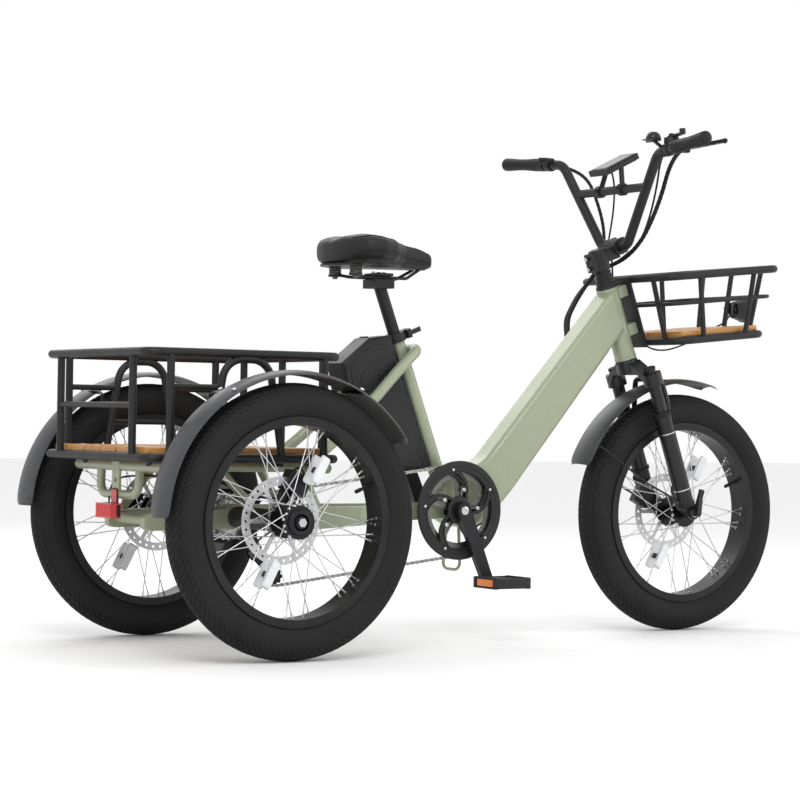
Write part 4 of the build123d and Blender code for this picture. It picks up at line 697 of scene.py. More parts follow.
@dataclass
class CarriedNodes:
    """The CAD nodes that stay in sight, each with its finish."""

    frame: dict

    def dress(self, finish: Finish, *nodes: str) -> None:
        """Gives CAD nodes a finish.

        Args:
            finish: The finish.
            nodes: Names of the CAD nodes.
        """
        for name in nodes:
            obj = self.frame["nodes"][name]
            for holder in obj.material_slots:
                holder.link = "OBJECT"
                holder.material = finish.material()
            log.info("CAD node %s in %s", name, finish.name)

    def build(self) -> None:
        """Dresses every CAD node that stays."""
        self.dress(PAINT, "main_frame", "seat_stays", "rear_subframe", "rear_platform")
        self.dress(BLACK, "rear_basket", "front_basket", "handlebar", "stem", "seat_clamp", "seat_post")
        self.dress(GLOSS_BLACK, "fork_lowers", "fork_crown", "headlight")
        self.dress(ALLOY, "axle_housing", "crank_left", "crank_right", "rear_brake_calipers")
        self.dress(ALLOY, "front_brake_caliper", "brake_lever_left", "brake_lever_right")
        self.dress(ALLOY, "seat_clamp_lever", "front_quick_release")
        self.dress(STEEL, "front_axle", "crank_spindle", "bell_striker", "front_spokes")
        self.dress(STEEL, "rear_left_spokes", "rear_right_spokes", "bearings")
        self.dress(RIM, "front_rim", "rear_left_rim", "rear_right_rim")
        self.dress(PLASTIC, "rear_derailleur", "bar_controls", "shifter_paddle", "battery_dock")
        self.dress(PLASTIC, "battery_case", "display", "saddle_rails")
        self.dress(RED, "tail_light")
        for name, middle in (("rear_left", WHEEL_Y), ("rear_right", -WHEEL_Y), ("front", 0.0)):
            zoned = Finish(
                name + "_hub_steel", Grain.BRUSHED, (0.52, 0.52, 0.53), (0.66, 0.66, 0.67),
                metallic=0.9, rough=(0.25, 0.38), size=0.6, relief=0.01, zone=(middle, 41.5),
                zone_colour=(0.03, 0.03, 0.032),
            )
            self.dress(zoned, name + "_hub")


@dataclass
class Tyre:
    """The tread and side walls that the three wheels share."""

    diameter: float = 560.0
    width: float = 78.0
    pitches: int = 108
    per_pitch: int = 5
    row_step: float = 4.0
    tread_rows: int = 16
    groove: float = 2.3
    bead_turn: float = 136.0

    def depth(self, row: int, column: int) -> float:
        """How far a tread point is sunk, for its row from the middle and its column.

        Args:
            row: Row counted from the middle.
            column: Column counted round the tyre.

        Returns:
            The depth.
        """
        if abs(row) in (5, 11):
            return self.groove
        slot = (column + abs(row)) % self.per_pitch
        return self.groove if slot == 0 and abs(row) > 0 else 0.0

    def mesh(self) -> bpy.types.Mesh:
        """Builds the tyre about its own middle, with the axle along Y."""
        tube_r = self.width / 2
        centre = self.diameter / 2 - tube_r
        columns = self.pitches * self.per_pitch
        shaper = Shaper()
        turns: list[tuple[float, int | None]] = []
        for row in range(-self.tread_rows, self.tread_rows + 1):
            turns.append((row * self.row_step, row))
        wall = []
        turn = self.tread_rows * self.row_step + 3
        while turn < self.bead_turn:
            wall.append(turn)
            turn += 6.0
        turns = [(-t, None) for t in reversed(wall)] + turns + [(t, None) for t in wall]
        rings = []
        for angle, row in turns:
            ring = []
            rib = 0.7 if 76 < abs(angle) < 82 or 96 < abs(angle) < 101 else 0.0
            for column in range(columns):
                sunk = self.depth(row, column) if row is not None else 0.8 - rib
                r = tube_r - sunk
                reach = centre + r * cos(radians(angle))
                y = r * sin(radians(angle))
                theta = 2 * pi * column / columns
                ring.append(Vector((reach * cos(theta), y, reach * sin(theta))))
            rings.append(ring)
        for reach, y in ((207.0, 24.0), (201.0, 20.0), (201.0, -20.0), (207.0, -24.0)):
            turns_round = [2 * pi * c / columns for c in range(columns)]
            rings.append([Vector((reach * cos(t), y, reach * sin(t))) for t in turns_round])
        shaper.loft(rings, loop=True)
        mesh = bpy.data.meshes.new("tyre")
        mesh.from_pydata([tuple(p * MM) for p in shaper.points], [], shaper.faces)
        edit = bmesh.new()
        edit.from_mesh(mesh)
        bmesh.ops.recalc_face_normals(edit, faces=edit.faces)
        for face in edit.faces:
            face.smooth = True
        for edge in edit.edges:
            if edge.calc_face_angle(0.0) > radians(28):
                edge.smooth = False
        edit.to_mesh(mesh)
        edit.free()
        mesh.materials.append(TYRE.material())
        return mesh


@dataclass
class Wheel:
    """The pieces of one wheel that the CAD leaves out."""

    name: str
    centre: Vector
    tyre: bpy.types.Mesh
    rotor_y: float
    spokes: int = 36
    cross: float = 52.0
    reflector_r: float = 118.0

    def spoke_ends(self, axle: Place, index: int, side: int) -> tuple[Vector, Vector]:
        """Hub end and rim end of one spoke.

        Args:
            axle: Axes with z along the axle.
            index: The spoke's number on its side.
            side: 1 or -1, for the two sides.

        Returns:
            Hub end and rim end.
        """
        lead = 1 if index % 2 else -1
        turn = radians((index + 0.25 * (side + 1)) * 720 / self.spokes)
        over = turn + radians(lead * self.cross)
        hub_r = HUB_FLANGE_D / 2 + 1.2
        rim_r = RIM_D / 2 - RIM_DEPTH
        hub = axle.at(hub_r * cos(turn), hub_r * sin(turn), side * HUB_FLANGE_Y + lead * 1.8)
        return hub, axle.at(rim_r * cos(over), rim_r * sin(over), side * 5 + lead * 1.8)

    def build(self) -> None:
        """Builds the tyre, nipples, heads, valve, reflectors, bolts and caps."""
        body = self.name + "_wheel"
        settle(
            self.name + "_tread_tyre", self.tyre, TYRE, body, [self.name + "_tyre"],
            at=self.centre,
        )
        axle = facing(self.centre, (0, -1, 0))
        nipples = Shaper()
        heads = Shaper()
        for index in range(self.spokes // 2):
            for side in (-1, 1):
                hub, rim = self.spoke_ends(axle, index, side)
                run = (hub - rim).normalized()
                spot = facing(rim, run)
                nipples.lathe(spot, [(3.2, -0.2), (3.2, 1.0), (2.0, 1.6), (1.9, 12), (1.6, 13)], 10)
                head = facing(hub, (0, -side, 0))
                heads.lathe(head, [(2.6, -2.6), (2.6, 2.4), (1.6, 3.4)], 10)
        nipples.make(self.name + "_spoke_nipples", STEEL, body, "spoke_steel")
        heads.make(self.name + "_spoke_heads", STEEL, body, "spoke_steel")
        valve = Shaper()
        spot = axle.turned(22).moved(RIM_D / 2 - RIM_DEPTH, 0, 0)
        stem = facing(spot.origin, -spot.x)
        valve.lathe(
            stem, [(5.5, -0.3), (5.5, 1.5), (3.6, 2.2), (3.6, 22), (4.2, 22.4), (4.2, 34), (2.5, 36)], 16
        )
        valve.make(self.name + "_valve", RUBBER, body, "cable_rubber")
        shine = Shaper()
        clips = Shaper()
        for turn in (62.0, 242.0):
            spot = axle.turned(turn).moved(self.reflector_r, 0, 0)
            for side in (-1, 1):
                face = Place(spot.at(0, 0, side * 16), spot.x, spot.z * side)
                shine.plate(face, rounded(58, 19, 4), 0, 4.0, 1.0)
                shine.plate(face, rounded(62, 22, 5), -1.8, 0.4, 0.8)
                for offset in (-9, 9):
                    shine.plate(face.moved(offset * 2.2, 0), rounded(12, 14, 2), 3.6, 4.8, 0.4)
            clips.plate(spot, rounded(12, 6, 1.5), -15, 15, 0.6)
        shine.make(self.name + "_reflectors", WHITE, body)
        clips.make(self.name + "_reflector_clips", PLASTIC, body, "black_plastic")
        bolts = Shaper()
        outward = -1 if self.rotor_y > self.centre.y else 1
        face = facing(
            Vector((self.centre.x, self.rotor_y + outward * -1.0, self.centre.z)), (0, -outward, 0)
        )
        for step in range(6):
            bolts.cap_screw(face.turned(step * 60).moved(24, 0), 7, 2.6)
        bolts.make(self.name + "_rotor_bolts", STEEL, body, "steel")
        if self.name != "front":
            cap = Shaper()
            side = 1 if self.centre.y > 0 else -1
            out = facing(self.centre, (0, side, 0))
            cap.lathe(out, [(27, 32), (27, 35), (24, 38.5), (17.5, 39.5), (17.5, 32)], 48, loop=True)
            cap.lathe(out, [(11, 38), (11, 39.5), (9, 40)], 24)
            cap.make(self.name + "_hub_cap", ALLOY, body, "black_rim")
        ring = Shaper()
        for side in (-1, 1):
            edge = Place(axle.origin, axle.x, axle.z * side)
            ring.lathe(
                edge,
                [(211.4, 26.6), (212.3, 27.6), (212.3, 29.6), (211.0, 30.2), (209, 30.2), (209, 27)],
                120,
                loop=True,
            )
        ring.make(self.name + "_rim_lips", RIM, body, "black_rim")


@dataclass
class Fenders:
    """Crowned mudguard blades with their straps and bolts."""

    thickness: float = 1.6
    crown: float = 7.0
    width: float = 80.0

    def blade(self, shaper: Shaper, axle: Place, radius: float, start: float, sweep: float) -> None:
        """Adds one blade about an axle's z, narrowing to round corners at its ends.

        Args:
            shaper: The piece being built.
            axle: Axes with z along the axle.
            radius: Its radius.
            start: Angle where it starts, in degrees.
            sweep: Angle that it covers, in degrees.
        """
        steps = int(sweep / 1.6)
        rings = []
        shares = [-1 + 2 * i / 16 for i in range(17)]
        for step in range(steps + 1):
            share = step / steps
            turn = radians(start + sweep * share)
            ends = min(share, 1 - share) * sweep
            grow = 1.0 if ends > 5 else 0.72 + 0.28 * (1 - (1 - ends / 5) ** 2) ** 0.5
            ring = []
            for flip, order in ((0.0, shares), (-self.thickness, list(reversed(shares)))):
                for t in order:
                    lip = 1.6 * max(0.0, abs(t) - 0.9) / 0.1
                    reach = radius - self.crown * t * t + flip - lip
                    across = self.width / 2 * t * grow
                    ring.append(axle.at(reach * cos(turn), reach * sin(turn), across))
            rings.append(ring)
        shaper.loft(rings)

    def build(self) -> None:
        """Builds the two rear mudguards and the front one."""
        for side, name in ((-1, "right"), (1, "left")):
            middle = side * (WHEEL_Y + 1)
            axle = facing(rear(0, middle, 0), (0, -1, 0))
            blade = Shaper()
            self.blade(blade, axle, 306.0, 32.0, 146.0)
            blade.make("rear_fender_" + name, FENDER, "frame", "grey_fender", ["rear_fenders"])
            straps = Shaper()
            screws = Shaper()
            for turn in (120.0, 62.0):
                spot = REAR_SIDE.turned(turn).moved(303.0, 0, 0)
                inner = 249.3
                out = side * (WHEEL_Y + 1 + 28)
                straps.tube(
                    [
                        Vector((spot.origin.x, side * inner, spot.origin.z - 26)),
                        Vector((spot.origin.x, side * (inner + 1), spot.origin.z - 10)),
                        Vector((spot.origin.x, side * (inner + 9), spot.origin.z - 5)),
                        Vector((spot.origin.x, out * 0.9, spot.origin.z - 4)),
                        Vector((spot.origin.x, out, spot.origin.z - 7)),
                    ],
                    [7.5] * 5, 12, flat=0.32,
                )
                for y in (296.0, 352.0):
                    head = facing(
                        Vector((spot.origin.x, side * y, spot.origin.z)) + spot.x * 0.6, spot.x
                    )
                    screws.cap_screw(head, 9, 3.6)
            straps.make("rear_fender_straps_" + name, BLACK, "frame", "grey_fender")
            screws.make("rear_fender_screws_" + name, STEEL, "frame", "steel")
        blade = Shaper()
        self.blade(blade, FRONT_SIDE, 317.0, 72.0, 87.0)
        blade.make("front_fender_blade", FENDER, "fork_lowers", "grey_fender", ["front_fender"])
        stay = Shaper()
        for side in (-1, 1):
            start = front(-262, side * 30, 160)
            stay.tube(
                [start, front(-250, side * 44, 150), front(-140, side * 66, 70), front(-18, side * 70, 14)],
                2.4, 10,
            )
        bracket = AXLE.at(48, 0, 309.0)
        spot = facing(bracket, (bracket - front(0, 0, 0)).normalized())
        stay.plate(spot, rounded(34, 26, 5), -2, 5, 0.8)
        stay.bolt(spot.moved(0, 0, 5), 10, 4)
        stay.make("front_fender_stays", BLACK, "fork_lowers", "black_paint")


@dataclass
class Drive:
    """Chain, toothed rings, guard, pedals and crank caps."""

    pitch: float = 12.7
    plate_t: float = 0.8
    ring_r: float = 100.0
    jockey_r: float = 20.0
    crank_turn: float = 23.0
    crank_length: float = 170.0
    belt: tuple = (
        (BB_X, BB_RISE, 100.0, 1), (0.0, 0.0, 38.0, 1), (55.0, -75.0, 20.0, -1), (110.0, -128.0, 20.0, 1),
    )

    def teeth(self, pitch_r: float, deep: float = 3.6) -> tuple[Callable[[float], float], int]:
        """Radius function and point count of a toothed rim on a pitch circle."""
        count = round(2 * pi * pitch_r / self.pitch)
        return lambda turn: pitch_r - 1.6 + deep * abs(cos(turn * count / 2)) ** 1.4 - 1.2, count * 8

    def path(self) -> list[Vector]:
        """Chain line in the wheel plane as closely spaced points."""
        runs = []
        for index, first in enumerate(self.belt):
            second = self.belt[(index + 1) % len(self.belt)]
            dx, dy = second[0] - first[0], second[1] - first[1]
            lean = asin((second[3] * second[2] - first[3] * first[2]) / (dx * dx + dy * dy) ** 0.5)
            heading = atan2(dy, dx) - lean
            ends = []
            for x, y, radius, turn in (first, second):
                ends.append(Vector((x + turn * radius * sin(heading), y - turn * radius * cos(heading))))
            runs.append(ends)
        points: list[Vector] = []
        for index, (leave, arrive) in enumerate(runs):
            steps = 60
            points += [leave.lerp(arrive, step / steps) for step in range(steps)]
            x, y, radius, turn = self.belt[(index + 1) % len(self.belt)]
            after = runs[(index + 1) % len(runs)][0]
            start = atan2(arrive.y - y, arrive.x - x)
            end = atan2(after.y - y, after.x - x)
            sweep = (end - start) * turn % (2 * pi)
            for step in range(40):
                angle = start + turn * sweep * step / 40
                points.append(Vector((x + radius * cos(angle), y + radius * sin(angle))))
        return points

    def pins(self) -> list[Vector]:
        """Evenly spaced chain pins round the path."""
        points = self.path()
        lengths = [(points[(i + 1) % len(points)] - p).length for i, p in enumerate(points)]
        total = sum(lengths)
        count = round(total / self.pitch / 2) * 2
        gap = total / count
        pins = []
        walked = 0.0
        index = 0
        for step in range(count):
            goal = step * gap
            while walked + lengths[index] < goal:
                walked += lengths[index]
                index += 1
            share = (goal - walked) / lengths[index]
            pins.append(points[index].lerp(points[(index + 1) % len(points)], share))
        return pins

    def build_chain(self) -> None:
        """Builds the roller chain link by link."""
        side = REAR_SIDE.moved(0, 0, -CHAIN_Y)
        pins = self.pins()
        outer = Shaper()
        inner = Shaper()
        for index, pin in enumerate(pins):
            after = pins[(index + 1) % len(pins)]
            run = (after - pin).normalized()
            link = Place(side.at(pin.x, pin.y), side.x * run.x + side.y * run.y, side.z)
            length = (after - pin).length
            wide = index % 2
            shaper = outer if wide else inner
            low = 2.0 if wide else 1.1
            waist = []
            for step in range(9):
                turn = pi / 2 + pi * step / 8
                waist.append((3.7 * cos(turn), 3.7 * sin(turn)))
            waist.append((length / 2, -2.5))
            for step in range(9):
                turn = -pi / 2 + pi * step / 8
                waist.append((length + 3.7 * cos(turn), 3.7 * sin(turn)))
            waist.append((length / 2, 2.5))
            for start in (-low - self.plate_t, low):
                shaper.plate(link, waist, start, start + self.plate_t, 0.15)
            inner.lathe(link, [(2.9, -1.3), (2.9, 1.3)], 10)
            outer.lathe(link, [(1.5, -2.8), (1.7, -2.6), (1.7, 2.6), (1.5, 2.8)], 8)
        outer.make("chain_outer_links", CHAIN_STEEL, "frame", "steel", ["chain"])
        inner.make("chain_inner_links", CHAIN_STEEL, "frame", "steel")

    def build_rings(self) -> None:
        """Builds the chainring, its guard, the cassette and the jockey wheels."""
        rim, count = self.teeth(self.ring_r)
        ring = Shaper()
        side = BB_SIDE.moved(0, 0, -CHAIN_Y)
        ring.ring_plate(side, rim, lambda _t: 72.0, -1.1, 1.1, count)
        for step in range(5):
            arm = side.turned(step * 72 + 18)
            ring.plate(arm, [(20, -9), (40, -7), (74, -11), (74, 11), (40, 7), (20, 9)], -1.0, 1.0, 0.3)
        ring.ring_plate(side, lambda _t: 27.0, lambda _t: 9.0, -1.1, 1.1, 48)
        ring.make("toothed_chainring", DARK_STEEL, "crank", "steel", ["chainring"])
        guard = Shaper()
        face = BB_SIDE.moved(0, 0, 66.0)
        guard.lathe(
            face,
            [
                (86, 0), (108, 0), (110, 1.5), (110, 5), (107.5, 7), (98, 7), (96, 5.6), (90, 5.6),
                (88, 7), (85, 5),
            ],
            120, loop=True,
        )
        for step in range(5):
            for lean, wide in ((0.0, 8.5), (13.0, 3.2)):
                left, right = [], []
                for mark in range(13):
                    share = mark / 12
                    r = 26 + 62 * share
                    turn = radians(step * 72 + lean * (0.4 + 0.6 * share) + 34 * share * share - 8)
                    half = (wide * (1.0 - 0.45 * sin(pi * share))) / r
                    left.append((r * cos(turn + half), r * sin(turn + half)))
                    right.append((r * cos(turn - half), r * sin(turn - half)))
                guard.plate(face, left + right[::-1], 0.6, 5.4, 0.5)
        guard.lathe(
            face,
            [(9, 0), (30, 0), (31, 1.2), (31, 5), (29, 6.6), (20, 7.4), (18, 6.4), (9, 6.4)],
            60,
            loop=True,
        )
        guard.make("chain_guard", PLASTIC, "crank", "black_plastic")
        screws = Shaper()
        for step in range(5):
            screws.cap_screw(face.turned(step * 72 + 6).moved(47, 0, 5.0), 9, 2.6)
            screws.lathe(face.turned(step * 72 + 30).moved(92, 0, 5.4), [(3, 0), (3, 1), (2, 1.5)], 14)
        screws.make("chain_guard_screws", STEEL, "crank", "steel")
        cassette = Shaper()
        for index, radius in enumerate((49.0, 45.0, 40.0, 33.5, 29.0, 25.0)):
            height = -CHAIN_Y + (index - 3) * 3.95
            rim, count = self.teeth(radius + 1.0, 3.4)
            plate = REAR_SIDE.moved(0, 0, height)
            hole = radius - 9 if radius > 33 else 16.0
            cassette.ring_plate(plate, rim, lambda _t, hole=hole: hole, -0.8, 0.8, count)
            for step in range(6):
                arm = plate.turned(step * 60 + index * 9)
                cassette.plate(arm, [(18, -5), (hole + 1, -4), (hole + 1, 4), (18, 5)], -0.7, 0.7, 0.2)
        cassette.lathe(REAR_SIDE, [(15.1, 47), (20, 47), (20, 72.5), (17, 74), (15.1, 74)], 40, loop=True)
        cassette.make("toothed_cassette", STEEL, "cassette", "steel", ["cassette"])
        for name, x, h in (("jockey_upper", 55.0, -75.0), ("jockey_lower", 110.0, -128.0)):
            rim, count = self.teeth(self.jockey_r - 3.0, 4.0)
            wheel = Shaper()
            spot = REAR_SIDE.moved(x, h, -CHAIN_Y)
            wheel.ring_plate(spot, rim, lambda _t: 5.4, -1.2, 1.2, count)
            wheel.lathe(spot, [(2.6, -2.0), (6.4, -2.0), (6.4, 2.0), (2.6, 2.0)], 28, loop=True)
            wheel.make(name + "_wheel", PLASTIC, name, "black_plastic", [name])
        cage = Shaper()
        for x, h in ((55.0, -75.0), (110.0, -128.0)):
            spot = REAR_SIDE.moved(x, h, -CHAIN_Y)
            cage.cap_screw(spot.moved(0, 0, 5.3), 8, 2.4)
        knuckle = REAR_SIDE.moved(55, -75, 80)
        cage.lathe(knuckle, [(13, -12), (13, -1), (11.5, 1), (7, 1.4), (6, 0.4)], 32)
        cage.tube(
            [
                REAR_SIDE.at(52, -70, 78), REAR_SIDE.at(58, -48, 84), REAR_SIDE.at(96, -24, 88),
                REAR_SIDE.at(150, -12, 93),
            ],
            2.5, 10,
        )
        cage.make("derailleur_trim", DARK_STEEL, "frame", "black_plastic")

    def crank_place(self, side: int) -> Place:
        """Axes at a crank arm's inner face with x along the arm.

        Args:
            side: 1 or -1, for the two sides.

        Returns:
            The axes.
        """
        turn = radians(-90 + self.crank_turn + (0 if side == 1 else 180))
        origin = rear(BB_X, -side * 78.0, BB_RISE)
        return Place(origin, Vector((cos(turn), 0, sin(turn))), Vector((0, -side, 0)))

    def build_pedal(self, side: int, name: str) -> None:
        """Builds one platform pedal with its amber reflectors.

        Args:
            side: 1 or -1, for the two sides.
            name: Its name.
        """
        arm = self.crank_place(side)
        centre = arm.at(self.crank_length, 0, 14.1 + 8 + 44)
        flat = Place(centre, Vector((1, 0, 0)), Vector((0, 0, 1)))
        frame = Shaper()
        for end in (-1, 1):
            frame.plate(flat.moved(end * 42.0, 0), rounded(9, 86, 3), -12.5, -8.2, 0.8)
            frame.plate(flat.moved(end * 42.0, 0), rounded(9, 86, 3), 8.2, 12.5, 0.8)
            frame.plate(flat.moved(end * 40.2, 0), rounded(5, 86, 1.5), -9, 9, 0.5)
            frame.plate(flat.moved(end * 44.5, 38), rounded(7, 10, 1.5), -12, 12, 0.5)
            frame.plate(flat.moved(end * 44.5, -38), rounded(7, 10, 1.5), -12, 12, 0.5)
            frame.plate(flat.moved(0, end * 40.5), rounded(88, 7, 2), -11.5, 11.5, 0.8)
            for step in range(6):
                y = -32.5 + step * 13
                for sign in (-1, 1):
                    stud = facing(flat.at(end * 42.0, y, sign * 12.0), (0, 0, sign))
                    frame.lathe(stud, [(2.6, -1), (1.7, 1.0)], 8)
        for step in (-1, 1):
            frame.plate(flat.moved(0, step * 20.0), rounded(84, 6, 2), -9.5, 9.5, 0.8)
        barrel = facing(centre, (0, 1, 0))
        frame.lathe(
            barrel,
            [(5.1, -38), (11, -38), (12.5, -30), (10, -10), (10, 10), (12.5, 30), (11, 38), (5.1, 38)],
            28,
            loop=True,
        )
        body = "pedal_" + name
        frame.make("pedal_body_" + name, PLASTIC, body, "black_plastic", [body])
        shine = Shaper()
        for end in (-1, 1):
            face = facing(flat.at(end * 44.2, 0, 0), (end, 0, 0), (0, 1, 0))
            shine.plate(face, rounded(60, 15, 2), -1, 2.6, 0.8)
        shine.make("pedal_reflectors_" + name, AMBER, "pedal_" + name)

    def build(self) -> None:
        """Builds the whole drive."""
        self.build_chain()
        self.build_rings()
        for side, name in ((1, "right"), (-1, "left")):
            self.build_pedal(side, name)
            cap = Shaper()
            arm = self.crank_place(side)
            cap.lathe(arm, [(9.5, 13.6), (9.5, 15.2), (8, 16.2), (3.6, 16.2), (3.6, 14.6)], 28)
            end = arm.moved(self.crank_length, 0)
            cap.lathe(end, [(5.1, 13.9), (9, 13.9), (9, 15.6), (7, 16.6), (5.1, 16.6)], 24, loop=True)
            cap.make("crank_caps_" + name, STEEL, "crank", "steel")


@dataclass
class SaddlePad:
    """Wide leather saddle with a raised tail, side panels and seams."""

    tail: float = -129.0
    nose: float = 132.0
    low: float = 38.0

    def half_width(self, share: float) -> float:
        """Half the width at a share of the length from the tail."""
        marks = ((0.0, 30.0), (0.05, 78.0), (0.16, 112.0), (0.28, 123.0), (0.42, 108.0), (0.55, 76.0),
                 (0.67, 47.0), (0.8, 35.0), (0.92, 30.0), (0.98, 20.0), (1.0, 9.0))
        return ease(marks, share)

    def top(self, share: float) -> float:
        """Height of the middle of the top at a share of the length."""
        marks = ((0.0, 84.0), (0.06, 98.0), (0.2, 104.0), (0.4, 98.0), (0.6, 89.0), (0.8, 83.0), (1.0, 68.0))
        return ease(marks, share)

    def build(self) -> None:
        """Builds the pad, its base edge, seams and springs' tops."""
        shaper = Shaper()
        rings = []
        seams: list[list[Vector]] = [[], []]
        piping: list[list[Vector]] = [[], []]
        count = 44
        for step in range(41):
            share = step / 40
            x = self.tail + (self.nose - self.tail) * share
            half = self.half_width(share)
            top = self.top(share)
            height = top - self.low
            ring = []
            for mark in range(count):
                turn = 2 * pi * mark / count
                c, s = cos(turn), sin(turn)
                y = half * (abs(c) ** 0.5) * (1 if c > 0 else -1)
                z = height / 2 * (abs(s) ** 0.52) * (1 if s > 0 else -1)
                if s > 0:
                    z -= 4.0 * (abs(y) / (half + 1)) ** 2
                    groove = max(0.0, 1 - abs(y) / 16.0) ** 2
                    z -= 11.0 * groove * max(0.0, sin(pi * min(1.0, share * 1.15))) ** 0.5
                else:
                    y *= 1 + 0.12 * s
                ring.append(SADDLE.at(x, y, self.low + height / 2 + z))
            rings.append(ring)
            if 3 <= step <= 38:
                for index, mark in ((0, 6), (1, 16)):
                    seams[index].append(ring[mark] + Vector((0, 0, 0.2)))
                for index, mark in ((0, 0), (1, 22)):
                    piping[index].append(ring[mark] + Vector((0, 0, -3.0)))
        shaper.loft(rings)
        pad = shaper.make("saddle_pad", LEATHER, "seat", "saddle_leather", ["saddle"], sharp=60)
        smooth = pad.modifiers.new("rounding", "SUBSURF")
        smooth.levels = 1
        smooth.render_levels = 1
        stitches = Shaper()
        for line in seams + piping:
            stitches.tube(line, 1.1, 8)
        stitches.make("saddle_seams", RUBBER, "seat", "saddle_leather")
        shell = Shaper()
        base = []
        for low, grow in ((self.low - 4.5, 0.9), (self.low - 1, 0.96), (self.low + 9, 0.985)):
            ring = []
            for mark in range(60):
                turn = 2 * pi * mark / 60
                share = 0.5 - 0.5 * cos(turn)
                x = self.tail + 2 + (self.nose - self.tail - 4) * share
                half = self.half_width(share) * 0.86
                y = half * (1 if mark < 30 else -1) * min(1.0, abs(sin(turn)) * 4)
                ring.append(SADDLE.at(x * grow, y * grow, low))
            base.append(ring)
        shell.loft(base)
        shell.make("saddle_base_shell", PLASTIC, "seat", "black_plastic")
        coils = Shaper()
        for side in (-1, 1):
            path = []
            for step in range(100):
                turn = 2 * pi * 4 * step / 99
                path.append(SADDLE.at(-86 + 12 * cos(turn), side * 44 + 12 * sin(turn), 15 + 19 * step / 99))
            coils.tube(path, 2.2, 8)
            foot = facing(SADDLE.at(-86, side * 44, 0), (0, 0, 1))
            coils.bolt(facing(SADDLE.at(-86, side * 44, 12), (0, 0, -1)), 11, 4)
            coils.lathe(foot, [(6, 12), (6, 34)], 16)
        coils.make("saddle_coil_springs", DARK_STEEL, "seat", "steel")
        clamp = Shaper()
        for side in (-1, 1):
            clamp.cap_screw(facing(SADDLE.at(side * 14, 0, 21), (0, 0, 1)), 9, 4)
        clamp.make("seat_post_head_screws", STEEL, "seat", "steel")


def ease(marks: Sequence[tuple[float, float]], share: float) -> float:
    """Smooth value at a share between marked values.

    Args:
        marks: Pairs of share and value, in order.
        share: Share of the way, from 0 to 1.

    Returns:
        The value.
    """
    for (a, low), (b, high) in zip(marks, marks[1:]):
        if share <= b:
            part = (share - a) / (b - a)
            if high * low > 0 and abs(high - low) < 0.45 * max(high, low):
                part = part * part * (3 - 2 * part) * 0.5 + part * 0.5
            return low + (high - low) * part
    return marks[-1][1]


